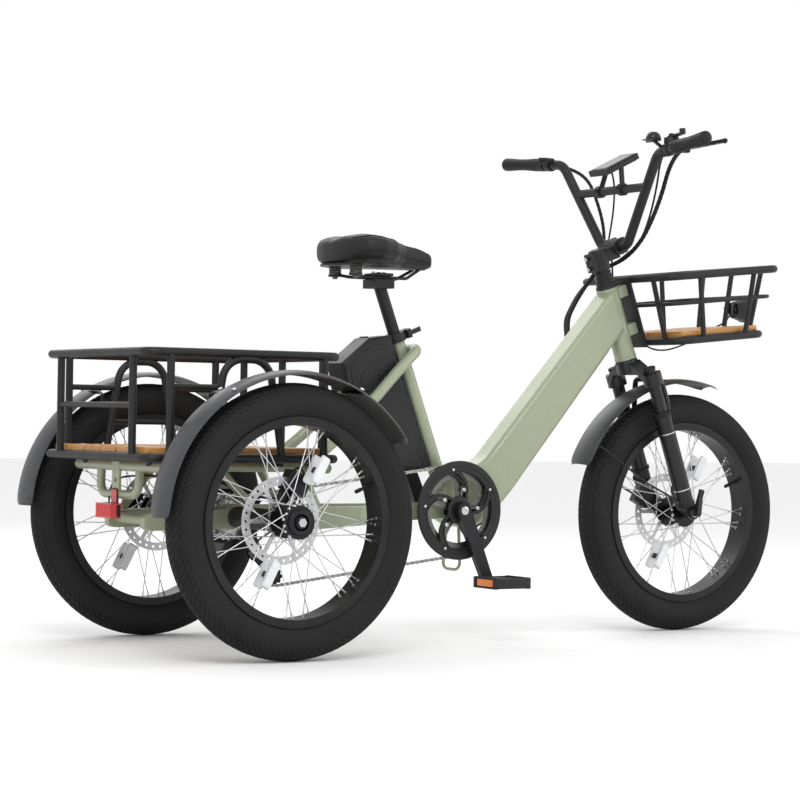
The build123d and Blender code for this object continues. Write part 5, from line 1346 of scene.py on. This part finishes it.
@dataclass
class Cockpit:
    """Grips, levers' trim, bell, display glass, stem screws and looms."""

    grip_length: float = 128.0
    loom_r: float = 5.2

    def build_grips(self) -> None:
        """Builds the shaped rubber grips with lock rings and end plugs."""
        for side, name in ((-1, "right"), (1, "left")):
            end = bar_place(side, 388.0)
            grip = Shaper()
            rings = []
            steps = 84
            for step in range(steps + 1):
                share = step / steps
                z = -self.grip_length + (self.grip_length + 2) * share
                taper = 3.0 * max(0.0, share - 0.97) / 0.03
                base = 14.3 + 1.2 * cos(2 * pi * share) - taper
                rib = 0.45 if step % 3 == 0 and 0.08 < share < 0.92 else 0.0
                palm = 2.0 * sin(pi * min(1.0, share * 1.05)) ** 2 * share
                ring = []
                for x, y in circle(1.0, 32):
                    reach = base + rib + palm * max(0.0, -x)
                    ring.append(end.at(x * reach, y * reach, z))
                rings.append(ring)
            grip.loft(rings)
            grip.make("grip_" + name, RUBBER, "steerer", "cable_rubber", ["grips"])
            lock = Shaper()
            lock.lathe(
                end,
                [(11.7, -133), (15.6, -133), (16, -132), (16, -126), (15, -125), (11.7, -125)],
                40,
                loop=True,
            )
            lock.lathe(end, [(9, 1.5), (12, 1.5), (12, 2.6), (10, 3.2)], 28)
            lock.cap_screw(facing(end.at(0, -side * 15.2, -129.2), end.y * -side), 4.6, 2)
            lock.make("grip_lock_" + name, ALLOY, "steerer", "crank_alloy")

    def build_controls(self) -> None:
        """Builds perch screws, adjusters, the bell's dome and the throttle pod."""
        trim = Shaper()
        steel = Shaper()
        for side in (-1, 1):
            perch = bar_place(side, 253.0)
            up = -side
            trim.lathe(
                facing(perch.at(30, 0, -8), -perch.z),
                [(5.2, -2), (5.2, 6), (4.4, 7), (4.4, 12), (3.2, 13)],
                20,
            )
            steel.cap_screw(facing(perch.at(PIVOT_X, up * 8, 0), perch.y * up), 8, 3)
            steel.cap_screw(facing(perch.at(16, up * 9.6, 4), perch.y * up), 6, 2.6)
            trim.plate(facing(perch.at(24, up * 10, 0), perch.y * up), rounded(24, 12, 4), 0, 3.4, 1.0)
        shifter = bar_place(-1, 233.0)
        window = facing(shifter.at(6, 36, 0), shifter.y)
        trim.lathe(
            facing(shifter.at(6, 8, 0), shifter.y), [(16.8, 0), (17.4, 2), (17.4, 15), (15.5, 18)], 40
        )
        trim.lathe(window, [(6, -4), (6, -1), (4, 0)], 24)
        steel.cap_screw(window, 5, 1.6)
        trim.make("lever_perch_trim", PLASTIC, "steerer", "black_plastic")
        steel.make("lever_perch_screws", STEEL, "steerer", "steel")
        bell = bar_place(-1, 214.0)
        dome = Shaper()
        top = facing(bell.at(-30, 24, 0), bell.y)
        dome.lathe(
            top, [(17.4, 0.4), (17.6, 2.2), (17, 6), (14.8, 11), (10.5, 14.6), (4, 16.2), (0.1, 16.6)], 48
        )
        dome.make("bell_dome", GLOSS_BLACK, "steerer", "black_paint")
        button = Shaper()
        button.lathe(top, [(4.2, 15.6), (4.2, 17.2), (2.4, 18)], 20)
        button.make("bell_screw", STEEL, "steerer", "steel")
        pod = Shaper()
        pad = bar_place(1, 232.0)
        face = facing(pad.at(-26.6, -10, -2), -pad.x, pad.z)
        pod.plate(face, rounded(20, 12, 3), -1, 1.4, 0.5)
        for step in (-1, 0, 1):
            pod.lathe(face.moved(step * 6, 0), [(2.2, 1.0), (2.2, 2.6), (1.4, 3)], 16)
        pod.make("control_pad_buttons", RUBBER, "steerer", "cable_rubber")
        for side, name in ((-1, "right"), (1, "left")):
            perch = bar_place(side, 253.0)
            trim = Shaper()
            tip = perch.at(63, 0, 112)
            trim.lathe(
                facing(tip, perch.z), [(1, -6.4), (4.6, -5), (6.2, -1), (6.2, 1), (4.6, 5), (1, 6.4)], 20
            )
            for step in range(3):
                share = 0.32 + 0.2 * step
                spot = perch.at(PIVOT_X + 32 * share, 0, 112 * share)
                for sign in (-1, 1):
                    face = facing(spot, perch.y * sign)
                    trim.lathe(face, [(3.6, 3.6), (3.6, 4.25), (2.6, 4.25), (2.4, 3.6)], 18, loop=True)
            trim.make("brake_lever_trim_" + name, ALLOY, "brake_lever_" + name, "crank_alloy")

    def build_display(self) -> None:
        """Builds the display's glass, bezel, keys and bracket screws."""
        cross = BAR.at(-20.0 * 131 / 205, 0, 131)
        screen = tilted(cross + Vector((6, 0, 61)), 26.0)
        glass = Shaper()
        glass.plate(screen, rounded(88, 54, 6), 6.4, 8.2, 0.6)
        glass.make("display_glass", GLASS, "steerer", "display_black")
        bezel = Shaper()
        outline = rounded(104, 66, 9, 6)
        bezel.plate(screen, outline, 3.4, 7.1, 1.2)
        bezel.plate(screen, rounded(100, 62, 8), -8.5, 0, 1.6)
        for side in (-1, 1):
            bezel.plate(screen.moved(-46, side * 16), rounded(5, 16, 2), 6.8, 8.0, 0.4)
            ring = facing(cross + Vector((0, side * 43, 0)), (0, -1, 0))
            bezel.cap_screw(facing(ring.at(-14, 2, 0), (-1, 0, 0)), 6, 3)
        bezel.make("display_bezel", PLASTIC, "steerer", "display_black")

    def build_stem(self) -> None:
        """Builds the stem's screws, cover rings and clamp plate."""
        rings = Shaper()
        for step in range(4):
            height = HEAD_TUBE_LENGTH + 13 + step * 8.5
            r = 23.1 - step * 1.35
            rings.lathe(
                HEAD,
                [(r - 1, height), (r + 0.8, height + 1), (r + 0.8, height + 3), (r - 1.4, height + 4)],
                48,
                loop=True,
            )
        rings.make("headset_cover_rings", PLASTIC, "steerer", "black_plastic")
        plate = Shaper()
        bolts = Shaper()
        for y in (-15, 15):
            for sign in (-1, 1):
                spot = HEAD.at(53 + 17, y, 257 + sign * 13)
                plate.lathe(facing(spot, HEAD.x), [(6, -9), (6, 1.5), (5, 2.5)], 20)
                bolts.cap_screw(facing(HEAD.at(53 + 19.2, y, 257 + sign * 13), HEAD.x), 7.5, 4)
        for z in (228.3, 252.0):
            bolts.cap_screw(facing(HEAD.at(-36.2, 0, z), -HEAD.x), 8.6, 3)
        bolts.cap_screw(HEAD.moved(0, 0, 264.0), 10, 3)
        plate.lathe(HEAD, [(20.6, 263.6), (20.6, 265.2), (17, 266.4), (6, 266.4)], 40)
        plate.make("stem_clamp_lugs", BLACK, "steerer", "black_paint")
        bolts.make("stem_screws", STEEL, "steerer", "steel")

    def build_looms(self) -> None:
        """Builds the wrapped looms and hoses from the levers to the frame."""
        right = bar_place(-1, 253.0)
        left = bar_place(1, 253.0)
        main = [
            right.at(30, 0, -10.5), right.at(36, -2, -44), BAR.at(38, -150, 176), BAR.at(50, -112, 122),
            BAR.at(52, -76, 66), BAR.at(46, -40, 12), BAR.at(34, 4, -26), BAR.at(14, 44, -44),
            BAR.at(-8, 66, -62), BAR.at(-14, 72, -72), BAR.at(-34, 78, -100), BAR.at(-60, 78, -138),
            BAR.at(-88, 66, -176), BAR.at(-100, 42, -208),
        ]
        self.loom("cable_loom_right", main, self.loom_r, ["bar_cables", "frame_cables"], True)
        second = [
            left.at(30, 0, -10.5), left.at(36, 2, -44), BAR.at(36, 160, 176), BAR.at(48, 136, 118),
            BAR.at(50, 112, 60), BAR.at(40, 94, 4), BAR.at(16, 84, -40), BAR.at(-10, 86, -78),
            BAR.at(-42, 88, -112), BAR.at(-66, 84, -146), BAR.at(-90, 74, -180), BAR.at(-104, 44, -216),
        ]
        self.loom("cable_loom_left", second, self.loom_r - 1, ["bar_cables"], True)
        shift = bar_place(-1, 233.0)
        thin = [
            shift.at(14, 14, -6), shift.at(24, 16, -40), BAR.at(30, -128, 196), BAR.at(44, -100, 140),
            BAR.at(56, -60, 70), BAR.at(58, -20, 10), BAR.at(44, 24, -20), BAR.at(20, 56, -50),
        ]
        self.loom("shift_cable", thin, 2.4, [], False)
        cross = BAR.at(-20.0 * 131 / 205, 0, 131)
        lead = [
            cross + Vector((14, 20, 48)), cross + Vector((34, 34, 30)), BAR.at(46, 66, 110),
            BAR.at(52, 84, 56), BAR.at(42, 84, 10),
        ]
        self.loom("display_lead", lead, 2.2, [], False)

    def loom(
        self, name: str, points: list[Vector], radius: float, stands_for: list[str], bends: bool
    ) -> None:
        """Builds one cable along a smooth route, spiral wrapped when it is thick.

        Args:
            name: The piece's name.
            points: The route's control points.
            radius: Its radius.
            stands_for: CAD nodes that it replaces.
            bends: True for a loom that crosses from the handlebar to the frame.
        """
        route = smooth_route(points, 14)
        spiral = radius > 3.5
        radii = [radius - (0.55 if spiral and i % 3 == 0 else 0.0) for i in range(len(route))]
        shaper = Shaper()
        shaper.tube(route, radii, 14)
        obj = shaper.make(name, RUBBER, "" if bends else "steerer", "cable_rubber", stands_for, sharp=50)
        if bends:
            tuple(BAR.at(0, 60, -50) * MM)
            tuple(BAR.at(-96, 60, -196) * MM)
            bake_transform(obj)

    def build(self) -> None:
        """Builds the whole cockpit."""
        self.build_grips()
        self.build_controls()
        self.build_display()
        self.build_stem()
        self.build_looms()


@dataclass
class Baskets:
    """Bamboo floors, their screws and the baskets' brackets."""

    slat_width: float = 68.0
    slat_gap: float = 6.0
    slat_height: float = 12.0

    def slat(self, shaper: Shaper, place: Place, length: float, width: float) -> None:
        """Adds one slat with rounded edges whose length runs along x.

        Args:
            shaper: The piece being built.
            place: Axes that it is built on.
            length: Its length.
            width: Its width.
        """
        section = rounded(width, self.slat_height, 2.6, 3)
        rings = []
        for x, share in (
            (-length / 2, 0.96), (-length / 2 + 1.6, 1.0), (length / 2 - 1.6, 1.0), (length / 2, 0.96)
        ):
            rings.append([place.at(x, y * share, z * share) for y, z in section])
        shaper.loft(rings)

    def basket_point(self, along: float, share: float, up: float) -> Vector:
        """Point of the front basket's shell.

        Args:
            along: Share of the way forward.
            share: Share of the way, from 0 to 1.
            up: Share of the height.

        Returns:
            The point.
        """
        half = 152.0 + 23.0 * up
        back = HEAD.at(57.6, 0, 21 + 154 * up)
        ahead = front(135 + 25 * up, 0, 427 + 154 * up)
        spot = back.lerp(ahead, along)
        return Vector((spot.x, half * share, spot.z))

    def build(self) -> None:
        """Builds both floors, their screws, clamps and bracket bolts."""
        wood = Shaper()
        screws = Shaper()
        middle = rear(-65.0, 0, 125 + 9.3 + 6)
        floor = Place(middle, Vector((1, 0, 0)), Vector((0, 0, 1)))
        length = 418.0
        for index in range(6):
            y = (index - 2.5) * (self.slat_width + self.slat_gap)
            self.slat(wood, floor.moved(0, y), length, self.slat_width)
            for x in (-161.0, 125.0):
                screws.cap_screw(floor.moved(x, y, 5.4), 9, 1.6)
        tail = self.basket_point(0, 0, 0)
        nose = self.basket_point(1, 0, 0)
        run = nose - tail
        up = Vector((-run.z, 0, run.x)).normalized()
        deck = Place(tail.lerp(nose, 0.5) + up * 15.3, run.normalized(), up)
        for index in range(4):
            y = (index - 1.5) * (self.slat_width + self.slat_gap - 2)
            self.slat(wood, deck.moved(0, y), run.length - 24, self.slat_width - 2)
            for x in (-run.length / 4, run.length / 4):
                screws.cap_screw(deck.moved(x, y, 5.4), 8, 1.6)
        wood.make("basket_floor_slats", BAMBOO, "frame", "bamboo", ["basket_slats"])
        screws.make("basket_floor_screws", STEEL, "frame", "steel")
        fixings = Shaper()
        heads = Shaper()
        for x in (-226.0, 60.0):
            for side in (-1, 1):
                spot = rear(x, side * 150, 125)
                clamp = facing(spot, (0, 1, 0))
                fixings.lathe(clamp, [(9.1, -9), (12, -9), (12, 9), (9.1, 9)], 32, loop=True)
                fixings.plate(facing(spot + Vector((0, 0, -12)), (0, 0, 1)), rounded(26, 18, 4), -6, 2, 0.8)
                heads.bolt(facing(spot + Vector((0, 0, -18)), (0, 0, -1)), 9, 4)
        for height in (62.0, 154.0):
            for y in (-10, 10):
                heads.bolt(facing(HEAD.at(48.4, y, height), HEAD.x), 9, 4)
        fixings.make("basket_clamps", BLACK, "frame", "black_paint")
        heads.make("basket_bolts", STEEL, "frame", "steel")


@dataclass
class Lights:
    """Headlight reflector and lens, tail light body, and their wires."""

    lamp_d: float = 58.0

    def build(self) -> None:
        """Builds the lights' trim."""
        baskets = Baskets()
        post = baskets.basket_point(1, 0, 0.42)
        back = facing(post + Vector((20, 0, -4)), (1, 0, 0), (0, 1, 0))
        shell = Shaper()
        r = self.lamp_d / 2
        shell.lathe(
            back,
            [
                (10, -2), (15, 3), (21, 12), (26, 22), (28.5, 30), (29, 36), (29, 39.6), (26.5, 40),
                (25.6, 37),
            ],
            56,
        )
        for step in range(9):
            fin = back.turned(step * 40)
            shell.plate(
                Place(fin.origin, fin.z, fin.y), [(0, 12), (16, 20), (16, 23.6), (0, 15)], -0.9, 0.9, 0.2
            )
        shell.bolt(facing(post + Vector((8, 11, 0)), (0, 1, 0)), 9, 4)
        shell.make("headlight_shell", GLOSS_BLACK, "frame", "light_black")
        mirror = Shaper()
        mirror.lathe(back, [(25, 37.4), (20, 33), (12, 30), (6, 29), (0.5, 29)], 48)
        for step in range(6):
            mirror.lathe(back.turned(step * 60).moved(14, 0, 31), [(3.4, 0), (3.4, 2), (2, 3.4)], 16)
        mirror.make("headlight_reflector", STEEL, "frame", "steel")
        lens = Shaper()
        lens.lathe(back, [(r - 4.6, 36.6), (r - 4.6, 38.4), (18, 39.6), (8, 40.2), (0.3, 40.4)], 56)
        lens.make("headlight_lens", LENS, "frame")
        box = Shaper()
        tail = facing(rear(-241.1, 0, 12), (-1, 0, 0), (0, 1, 0))
        box.plate(tail, rounded(71, 32, 6), -0.5, 10, 1.2)
        box.plate(facing(rear(-237.3, 0, 34), (-1, 0, 0), (0, 1, 0)), rounded(26, 48, 4), -2, 2, 0.6)
        box.make("tail_light_back", PLASTIC, "frame", "black_plastic")
        ribs = Shaper()
        for step in range(-4, 5):
            ribs.plate(tail.moved(step * 7.2, 0), rounded(3.0, 25, 1.2), 22.6, 24.2, 0.5)
        ribs.make("tail_light_ribs", RED, "frame", "red_lens")
        wires = Shaper()
        lead = [
            post + Vector((14, 6, -18)), post + Vector((6, 12, -34)), post + Vector((-16, 16, -44)),
            wire_sag(post, 0.35), wire_sag(post, 0.7), HEAD.at(52, 14, 30), HEAD.at(30, 26, 22),
        ]
        wires.tube(smooth_route(lead), 2.0, 8)
        tail_lead = [
            rear(-238, 26, 22), rear(-236, 34, 40), rear(-222, 40, 78), rear(-150, 52, 84),
            rear(-60, 60, 78), rear(0, 64, 70),
        ]
        wires.tube(smooth_route(tail_lead), 2.0, 8)
        wires.make("light_wires", RUBBER, "frame", "cable_rubber")


def wire_sag(post: Vector, share: float) -> Vector:
    """Point of the headlight's wire under the basket floor, at a share of its run back."""
    spot = post.lerp(HEAD.at(52, 14, 30), share)
    return spot + Vector((0, 16, -46 - 12 * sin(pi * share)))


@dataclass
class FrameTrim:
    """Weld beads, cups, guides, battery trim, clamps and hoses."""

    def bead(self, shaper: Shaper, place: Place, radius: float, height: float, thick: float = 2.2) -> None:
        """Adds a rippled weld bead round a tube.

        Args:
            shaper: The piece being built.
            place: Axes that it is built on.
            radius: Radius of the tube.
            height: Height along the tube.
            thick: Its thickness.
        """
        path = []
        radii = []
        steps = 96
        for step in range(steps):
            turn = 2 * pi * step / steps
            path.append(place.at(radius * cos(turn), radius * sin(turn), height))
            radii.append(thick * (1.0 if step % 2 else 0.86))
        shaper.tube(path, radii, 8, loop=True)

    def build_welds(self) -> None:
        """Builds weld beads and the head tube's collars."""
        beads = Shaper()
        for height in (1.5, HEAD_TUBE_LENGTH - 1.5):
            beads.lathe(
                HEAD,
                [(25.1, height - 4), (26.2, height - 3), (26.2, height + 3), (25.1, height + 4)],
                64,
                loop=True,
            )
        self.bead(beads, SEAT, SEAT_TUBE_D / 2, 34)
        for side in (-1, 1):
            self.bead(beads, facing(rear(BB_X, 0, BB_RISE), (0, side, 0)), 22.4, 35.4, 1.6)
            for x in (-226.0, 165.0):
                self.bead(
                    beads, facing(rear(x, side * 95, 104.7), (1 if x < 0 else -1, 0, 0)), 10.4, 11.2, 1.6
                )
            for x in (-190.0, 215.0):
                self.bead(beads, facing(rear(x, 0, -6), (0, side, 0)), 11.0, 73.2, 1.6)
        beads.make("weld_beads", PAINT, "frame", "sage_paint")
        cups = Shaper()
        for low, high in ((-8.2, 0), (170.0, 178.2)):
            cups.lathe(
                HEAD,
                [(15, low), (25.2, low + 0.6), (25.6, low + 2), (25.6, high - 2), (25.2, high), (15, high)],
                56,
                loop=True,
            )
        for side in (-1, 1):
            face = facing(rear(BB_X, 0, BB_RISE), (0, side, 0))
            cups.lathe(
                face,
                [(8.8, 30), (17.8, 30), (19.6, 36.6), (19.6, 38.6), (12, 40), (8.8, 40)],
                44,
                loop=True,
            )
            for step in range(12):
                cups.plate(face.turned(step * 30).moved(19, 0), rounded(3, 4, 0.6), 36.8, 38.6, 0.2)
        cups.make("bearing_cups", ALLOY, "frame", "crank_alloy")

    def build_battery(self) -> None:
        """Builds the battery's panels, lock, handle and the dock's ribs."""
        back = -SEAT_TUBE_D / 2
        panel = 1.4
        trim = Shaper()
        accents = Shaper()
        outline = [
            (back - 40, 132), (back - 26, 290), (back - 24, 404), (back - 62, 420), (back - 134, 396),
            (back - 146, 330), (back - 104, 164),
        ]
        inset = [
            (back - 60, 190), (back - 44, 352), (back - 78, 384), (back - 118, 366), (back - 120, 322),
            (back - 92, 206),
        ]
        for side in (-1, 1):
            for shape, height, edge in ((outline, 35.6, 0.5), (inset, 36.6, 0.6)):
                low = height if side == 1 else -height - panel
                trim.plate(SEAT_SIDE, shape, low, low + panel, edge)
            hub = facing(SEAT_SIDE.at(back - 66, 352, side * 37.4), (0, -side, 0))
            accents.lathe(
                hub, [(15, 0), (15, 1.4), (13.4, 2.2), (11, 2.2), (10, 1.2), (10, 0)], 44, loop=True
            )
            accents.lathe(hub, [(8, 0), (8, 1.8), (5, 2.4)], 32)
        ends = ((425, -16), (434, -13), (434, 13), (425, 16))
        trim.tube([SEAT_SIDE.at(back - 60, y, z) for y, z in ends], 4.0, 12)
        trim.make("battery_panels", PLASTIC, "battery", "battery_black")
        accents.make("battery_lock", ALLOY, "battery", "crank_alloy")
        ribs = Shaper()
        for step in range(7):
            z = 140 + step * 36
            ribs.plate(facing(SEAT.at(back - 4, 0, z), SEAT.z, SEAT.x), rounded(6, 38, 1.5), -5, 5, 0.8)
        ribs.make("battery_dock_ribs", PLASTIC, "frame", "black_plastic")

    def build_hoses(self) -> None:
        """Builds brake hoses, the motor's lead and their clips."""
        hoses = Shaper()
        for side in (-1, 1):
            y = side * (WHEEL_Y - 46.0)
            knob = rear(36, y - side * 20, 92)
            route = [
                knob, rear(48, y - side * 26, 112), rear(84, y - side * 44, 96), rear(96, side * 190, 40),
                rear(104, side * 150, -8), rear(120, side * 112, 14), rear(160, side * 92, 26),
            ]
            hoses.tube(smooth_route(route), 2.4, 10)
        motor = [rear(0, 40, 55), rear(20, 52, 74), rear(70, 66, 60), rear(130, 70, 34), rear(220, 60, 30)]
        hoses.tube(smooth_route(motor), 3.4, 10)
        low = HEAD.at(-8, 0, 66)
        start = Vector((low.x - BB_SIDE.origin.x, low.z - BB_SIDE.origin.z))
        heel = Vector((190.0, 66.0))
        drop = (start - heel).normalized()
        away = Vector((drop.y, -drop.x)) * 6.6
        shares = (0.93, 0.74, 0.55, 0.36, 0.18, 0.02)
        under = [BB_SIDE.at(*(heel.lerp(start, share) + away), 0) for share in shares]
        under += [BB_SIDE.at(x, y, 0) for x, y in ((157, 13), (113, -31), (80, -46))]
        hoses.tube(smooth_route(under), 2.5, 10)
        hoses.make("brake_hoses", RUBBER, "frame", "cable_rubber", ["frame_cables"])
        clips = Shaper()
        for share in (0.2, 0.45, 0.7, 0.9):
            spot = heel.lerp(start, share) + away
            clips.lathe(
                facing(BB_SIDE.at(spot.x, spot.y, 0), (drop.x, 0, drop.y)),
                [(2.6, -4), (5, -4), (5, 4), (2.6, 4)],
                20,
                loop=True,
            )
        for side in (-1, 1):
            clips.bolt(facing(rear(-226, side * 60, 116), (0, 0, 1)), 8, 3)
        clips.make("hose_clips", BLACK, "frame", "black_plastic")

    def build_axle(self) -> None:
        """Builds the motor case's fins, screws and the calipers' screws and dials."""
        case = Shaper()
        for step in range(5):
            y = -40 + step * 14
            case.lathe(
                facing(rear(0, y, 0), (0, 1, 0)),
                [(55, -1.6), (57.5, -1.2), (57.5, 1.2), (55, 1.6)],
                72,
                loop=True,
            )
        case.make("motor_case_fins", ALLOY, "frame", "housing_alloy")
        screws = Shaper()
        for side in (-1, 1):
            face = facing(rear(0, 45 if side == 1 else -63, 0), (0, side, 0))
            for step in range(8):
                screws.cap_screw(face.turned(step * 45 + 12).moved(42, 0, -1.2), 7, 3)
        dials = Shaper()
        places = []
        for side in (-1, 1):
            turn = radians(66.0)
            spot = rear(79 * cos(turn), side * (WHEEL_Y - 46.0 - 25), 79 * sin(turn))
            places.append(facing(spot, (0, -side, 0)))
        turn = radians(152.0)
        for place in places:
            dials.lathe(place, [(10.5, -1), (10.5, 4), (9.5, 5.4), (4, 5.4), (4, 3.6)], 32)
            for step in range(16):
                dials.plate(place.turned(step * 22.5).moved(10.4, 0), rounded(1.4, 1.8, 0.3), 0, 4, 0.2)
            for offset in (-20, 20):
                screws.cap_screw(place.moved(offset, 15, -6), 7.5, 4)
        screws.make("axle_screws", STEEL, "frame", "steel")
        dials.make("rear_caliper_dials", STEEL, "frame", "steel")
        dial = Shaper()
        spot = front(79 * cos(turn), 68.0, 79 * sin(turn))
        place = facing(spot, (0, 1, 0))
        dial.lathe(place, [(10.5, -1), (10.5, 3), (9.5, 4.4), (4, 4.4), (4, 3)], 32)
        dial.make("front_caliper_dial", STEEL, "fork_lowers", "steel")

    def build_fork(self) -> None:
        """Builds the fork's seals, dials, feet and hose."""
        seals = Shaper()
        for side in (-1, 1):
            leg = HEAD.moved(9, side * 70)
            seals.lathe(
                leg,
                [(16, -147), (21.2, -147), (21.8, -145), (21.8, -139), (19.5, -136), (16, -135.6)],
                48,
                loop=True,
            )
            seals.lathe(leg, [(8, -370.5), (20.4, -370), (21, -366), (20.6, -360), (20.1, -359)], 40)
        seals.make("fork_wiper_seals", RUBBER, "fork_lowers", "cable_rubber")
        dials = Shaper()
        for side in (-1, 1):
            leg = HEAD.moved(9, side * 70)
            dials.lathe(leg, [(12.4, -33), (12.4, -27), (11, -25.6), (5, -25.6), (5, -27.4)], 36)
            for step in range(18):
                dials.plate(leg.turned(step * 20).moved(12.3, 0), rounded(1.6, 2.0, 0.4), -32, -27, 0.2)
        dials.make("fork_preload_dials", ALLOY, "steerer", "crank_alloy")
        marks = Shaper()
        for side in (-1, 1):
            leg = HEAD.moved(9, side * 70)
            for height in (-190.0, -330.0):
                marks.lathe(
                    leg,
                    [(19.9, height), (20.35, height + 0.4), (20.35, height + 2.6), (19.9, height + 3)],
                    44,
                    loop=True,
                )
        marks.make("fork_leg_bands", STEEL, "fork_lowers", "steel")
        hose = Shaper()
        route = [
            front(-60, 62, 52), front(-84, 78, 84), HEAD.at(34, 88, -300), HEAD.at(28, 94, -230),
            HEAD.at(24, 92, -170), HEAD.at(24, 88, -150),
        ]
        hose.tube(smooth_route(route), 2.3, 10)
        for height in (-280.0, -180.0):
            hose.lathe(
                HEAD.moved(9, 70, height), [(20.1, -3), (22.6, -3), (22.6, 3), (20.1, 3)], 40, loop=True
            )
        hose.make("front_brake_hose", RUBBER, "fork_lowers", "cable_rubber")
        upper = Shaper()
        route = [
            HEAD.at(24, 88, -150), HEAD.at(30, 92, -100), HEAD.at(36, 84, -40), HEAD.at(40, 60, 40),
            BAR.at(40, 60, -120), BAR.at(44, 64, -60), BAR.at(44, 72, -10),
        ]
        upper.tube(smooth_route(route), 2.3, 10)
        hose = upper.make("front_hose_upper", RUBBER, "", "cable_rubber")
        low, high = HEAD.at(24, 88, -150) * MM, HEAD.at(40, 60, 40) * MM
        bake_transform(hose)

    def build(self) -> None:
        """Builds all the trim."""
        self.build_welds()
        self.build_battery()
        self.build_hoses()
        self.build_axle()
        self.build_fork()


@dataclass
class Studio:
    """Pale floor, soft lights and the camera."""

    eye: Vector = Vector((-3089.56, -4663.03, 490.63))
    yaw: float = 32.0503
    pitch: float = 0.4734
    roll: float = 0.9499
    lens: float = 111.76
    shift: Point2 = (0.0091, -0.0021)

    def soft_box(self, name: str, at: Vector, aim: Vector, size: float, power: float) -> None:
        """Adds one square soft light.

        Args:
            name: Its name.
            at: Where it stands.
            aim: Where it points.
            size: Its side in metres.
            power: Its power in watts.
        """
        lamp = bpy.data.lights.new(name, "AREA")
        lamp.size = size
        lamp.energy = power
        obj = bpy.data.objects.new(name, lamp)
        obj.location = at
        obj.rotation_euler = (aim - at).to_track_quat("-Z", "Y").to_euler()
        bpy.context.scene.collection.objects.link(obj)

    def camera(self) -> None:
        """Adds the camera."""
        yaw, pitch, roll = radians(self.yaw), radians(self.pitch), radians(self.roll)
        ahead = Vector((sin(yaw) * cos(pitch), cos(yaw) * cos(pitch), sin(pitch)))
        right = Vector((cos(yaw), -sin(yaw), 0))
        up = right.cross(ahead)
        side = right * cos(roll) + up * sin(roll)
        top = up * cos(roll) - right * sin(roll)
        data = bpy.data.cameras.new("camera")
        data.lens = self.lens
        data.sensor_width = 36.0
        data.shift_x, data.shift_y = self.shift
        data.clip_end = 60.0
        obj = bpy.data.objects.new("camera", data)
        turn = Matrix((side, top, -ahead)).transposed().to_4x4()
        obj.matrix_world = Matrix.Translation(self.eye * MM) @ turn
        bpy.context.scene.collection.objects.link(obj)
        bpy.context.scene.camera = obj

    def build(self) -> None:
        """Builds the studio."""
        mesh = bpy.data.meshes.new("floor")
        half = 20.0
        corners = [
            (-half, -half, -0.0005), (half, -half, -0.0005), (half, half, -0.0005), (-half, half, -0.0005)
        ]
        mesh.from_pydata(corners, [], [(0, 1, 2, 3)])
        mesh.materials.append(FLOOR.material())
        floor = bpy.data.objects.new("floor", mesh)
        bpy.context.scene.collection.objects.link(floor)
        world = bpy.data.worlds.new("studio")
        world.use_nodes = True
        ground = world.node_tree.nodes["Background"]
        ground.inputs["Color"].default_value = (1.0, 1.0, 1.0, 1.0)
        ground.inputs["Strength"].default_value = 1.0
        bpy.context.scene.world = world
        bpy.context.scene.view_settings.view_transform = "Standard"
        aim = Vector((0.0, 0.0, 0.5))
        self.soft_box("key_light", Vector((-2.4, -3.2, 3.6)), aim, 2.6, 95.0)
        self.soft_box("fill_light", Vector((3.6, -2.6, 2.0)), aim, 2.4, 30.0)
        self.soft_box("back_light", Vector((0.5, 3.6, 3.2)), aim, 2.6, 45.0)
        self.camera()


def main() -> None:
    """Builds the tricycle's looks round its CAD frame."""
    logging.basicConfig(level=logging.INFO, format="%(message)s")
    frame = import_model()
    CarriedNodes(frame).build()
    tyre = Tyre().mesh()
    Wheel("front", front(0, 0, 0), tyre, 43.0).build()
    Wheel("rear_left", rear(0, WHEEL_Y, 0), tyre, WHEEL_Y - 46.0).build()
    Wheel("rear_right", rear(0, -WHEEL_Y, 0), tyre, -WHEEL_Y + 46.0).build()
    Fenders().build()
    Drive().build()
    SaddlePad().build()
    Cockpit().build()
    Baskets().build()
    Lights().build()
    FrameTrim().build()
    Studio().build()
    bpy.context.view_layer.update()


if __name__ == "__main__":
    main()
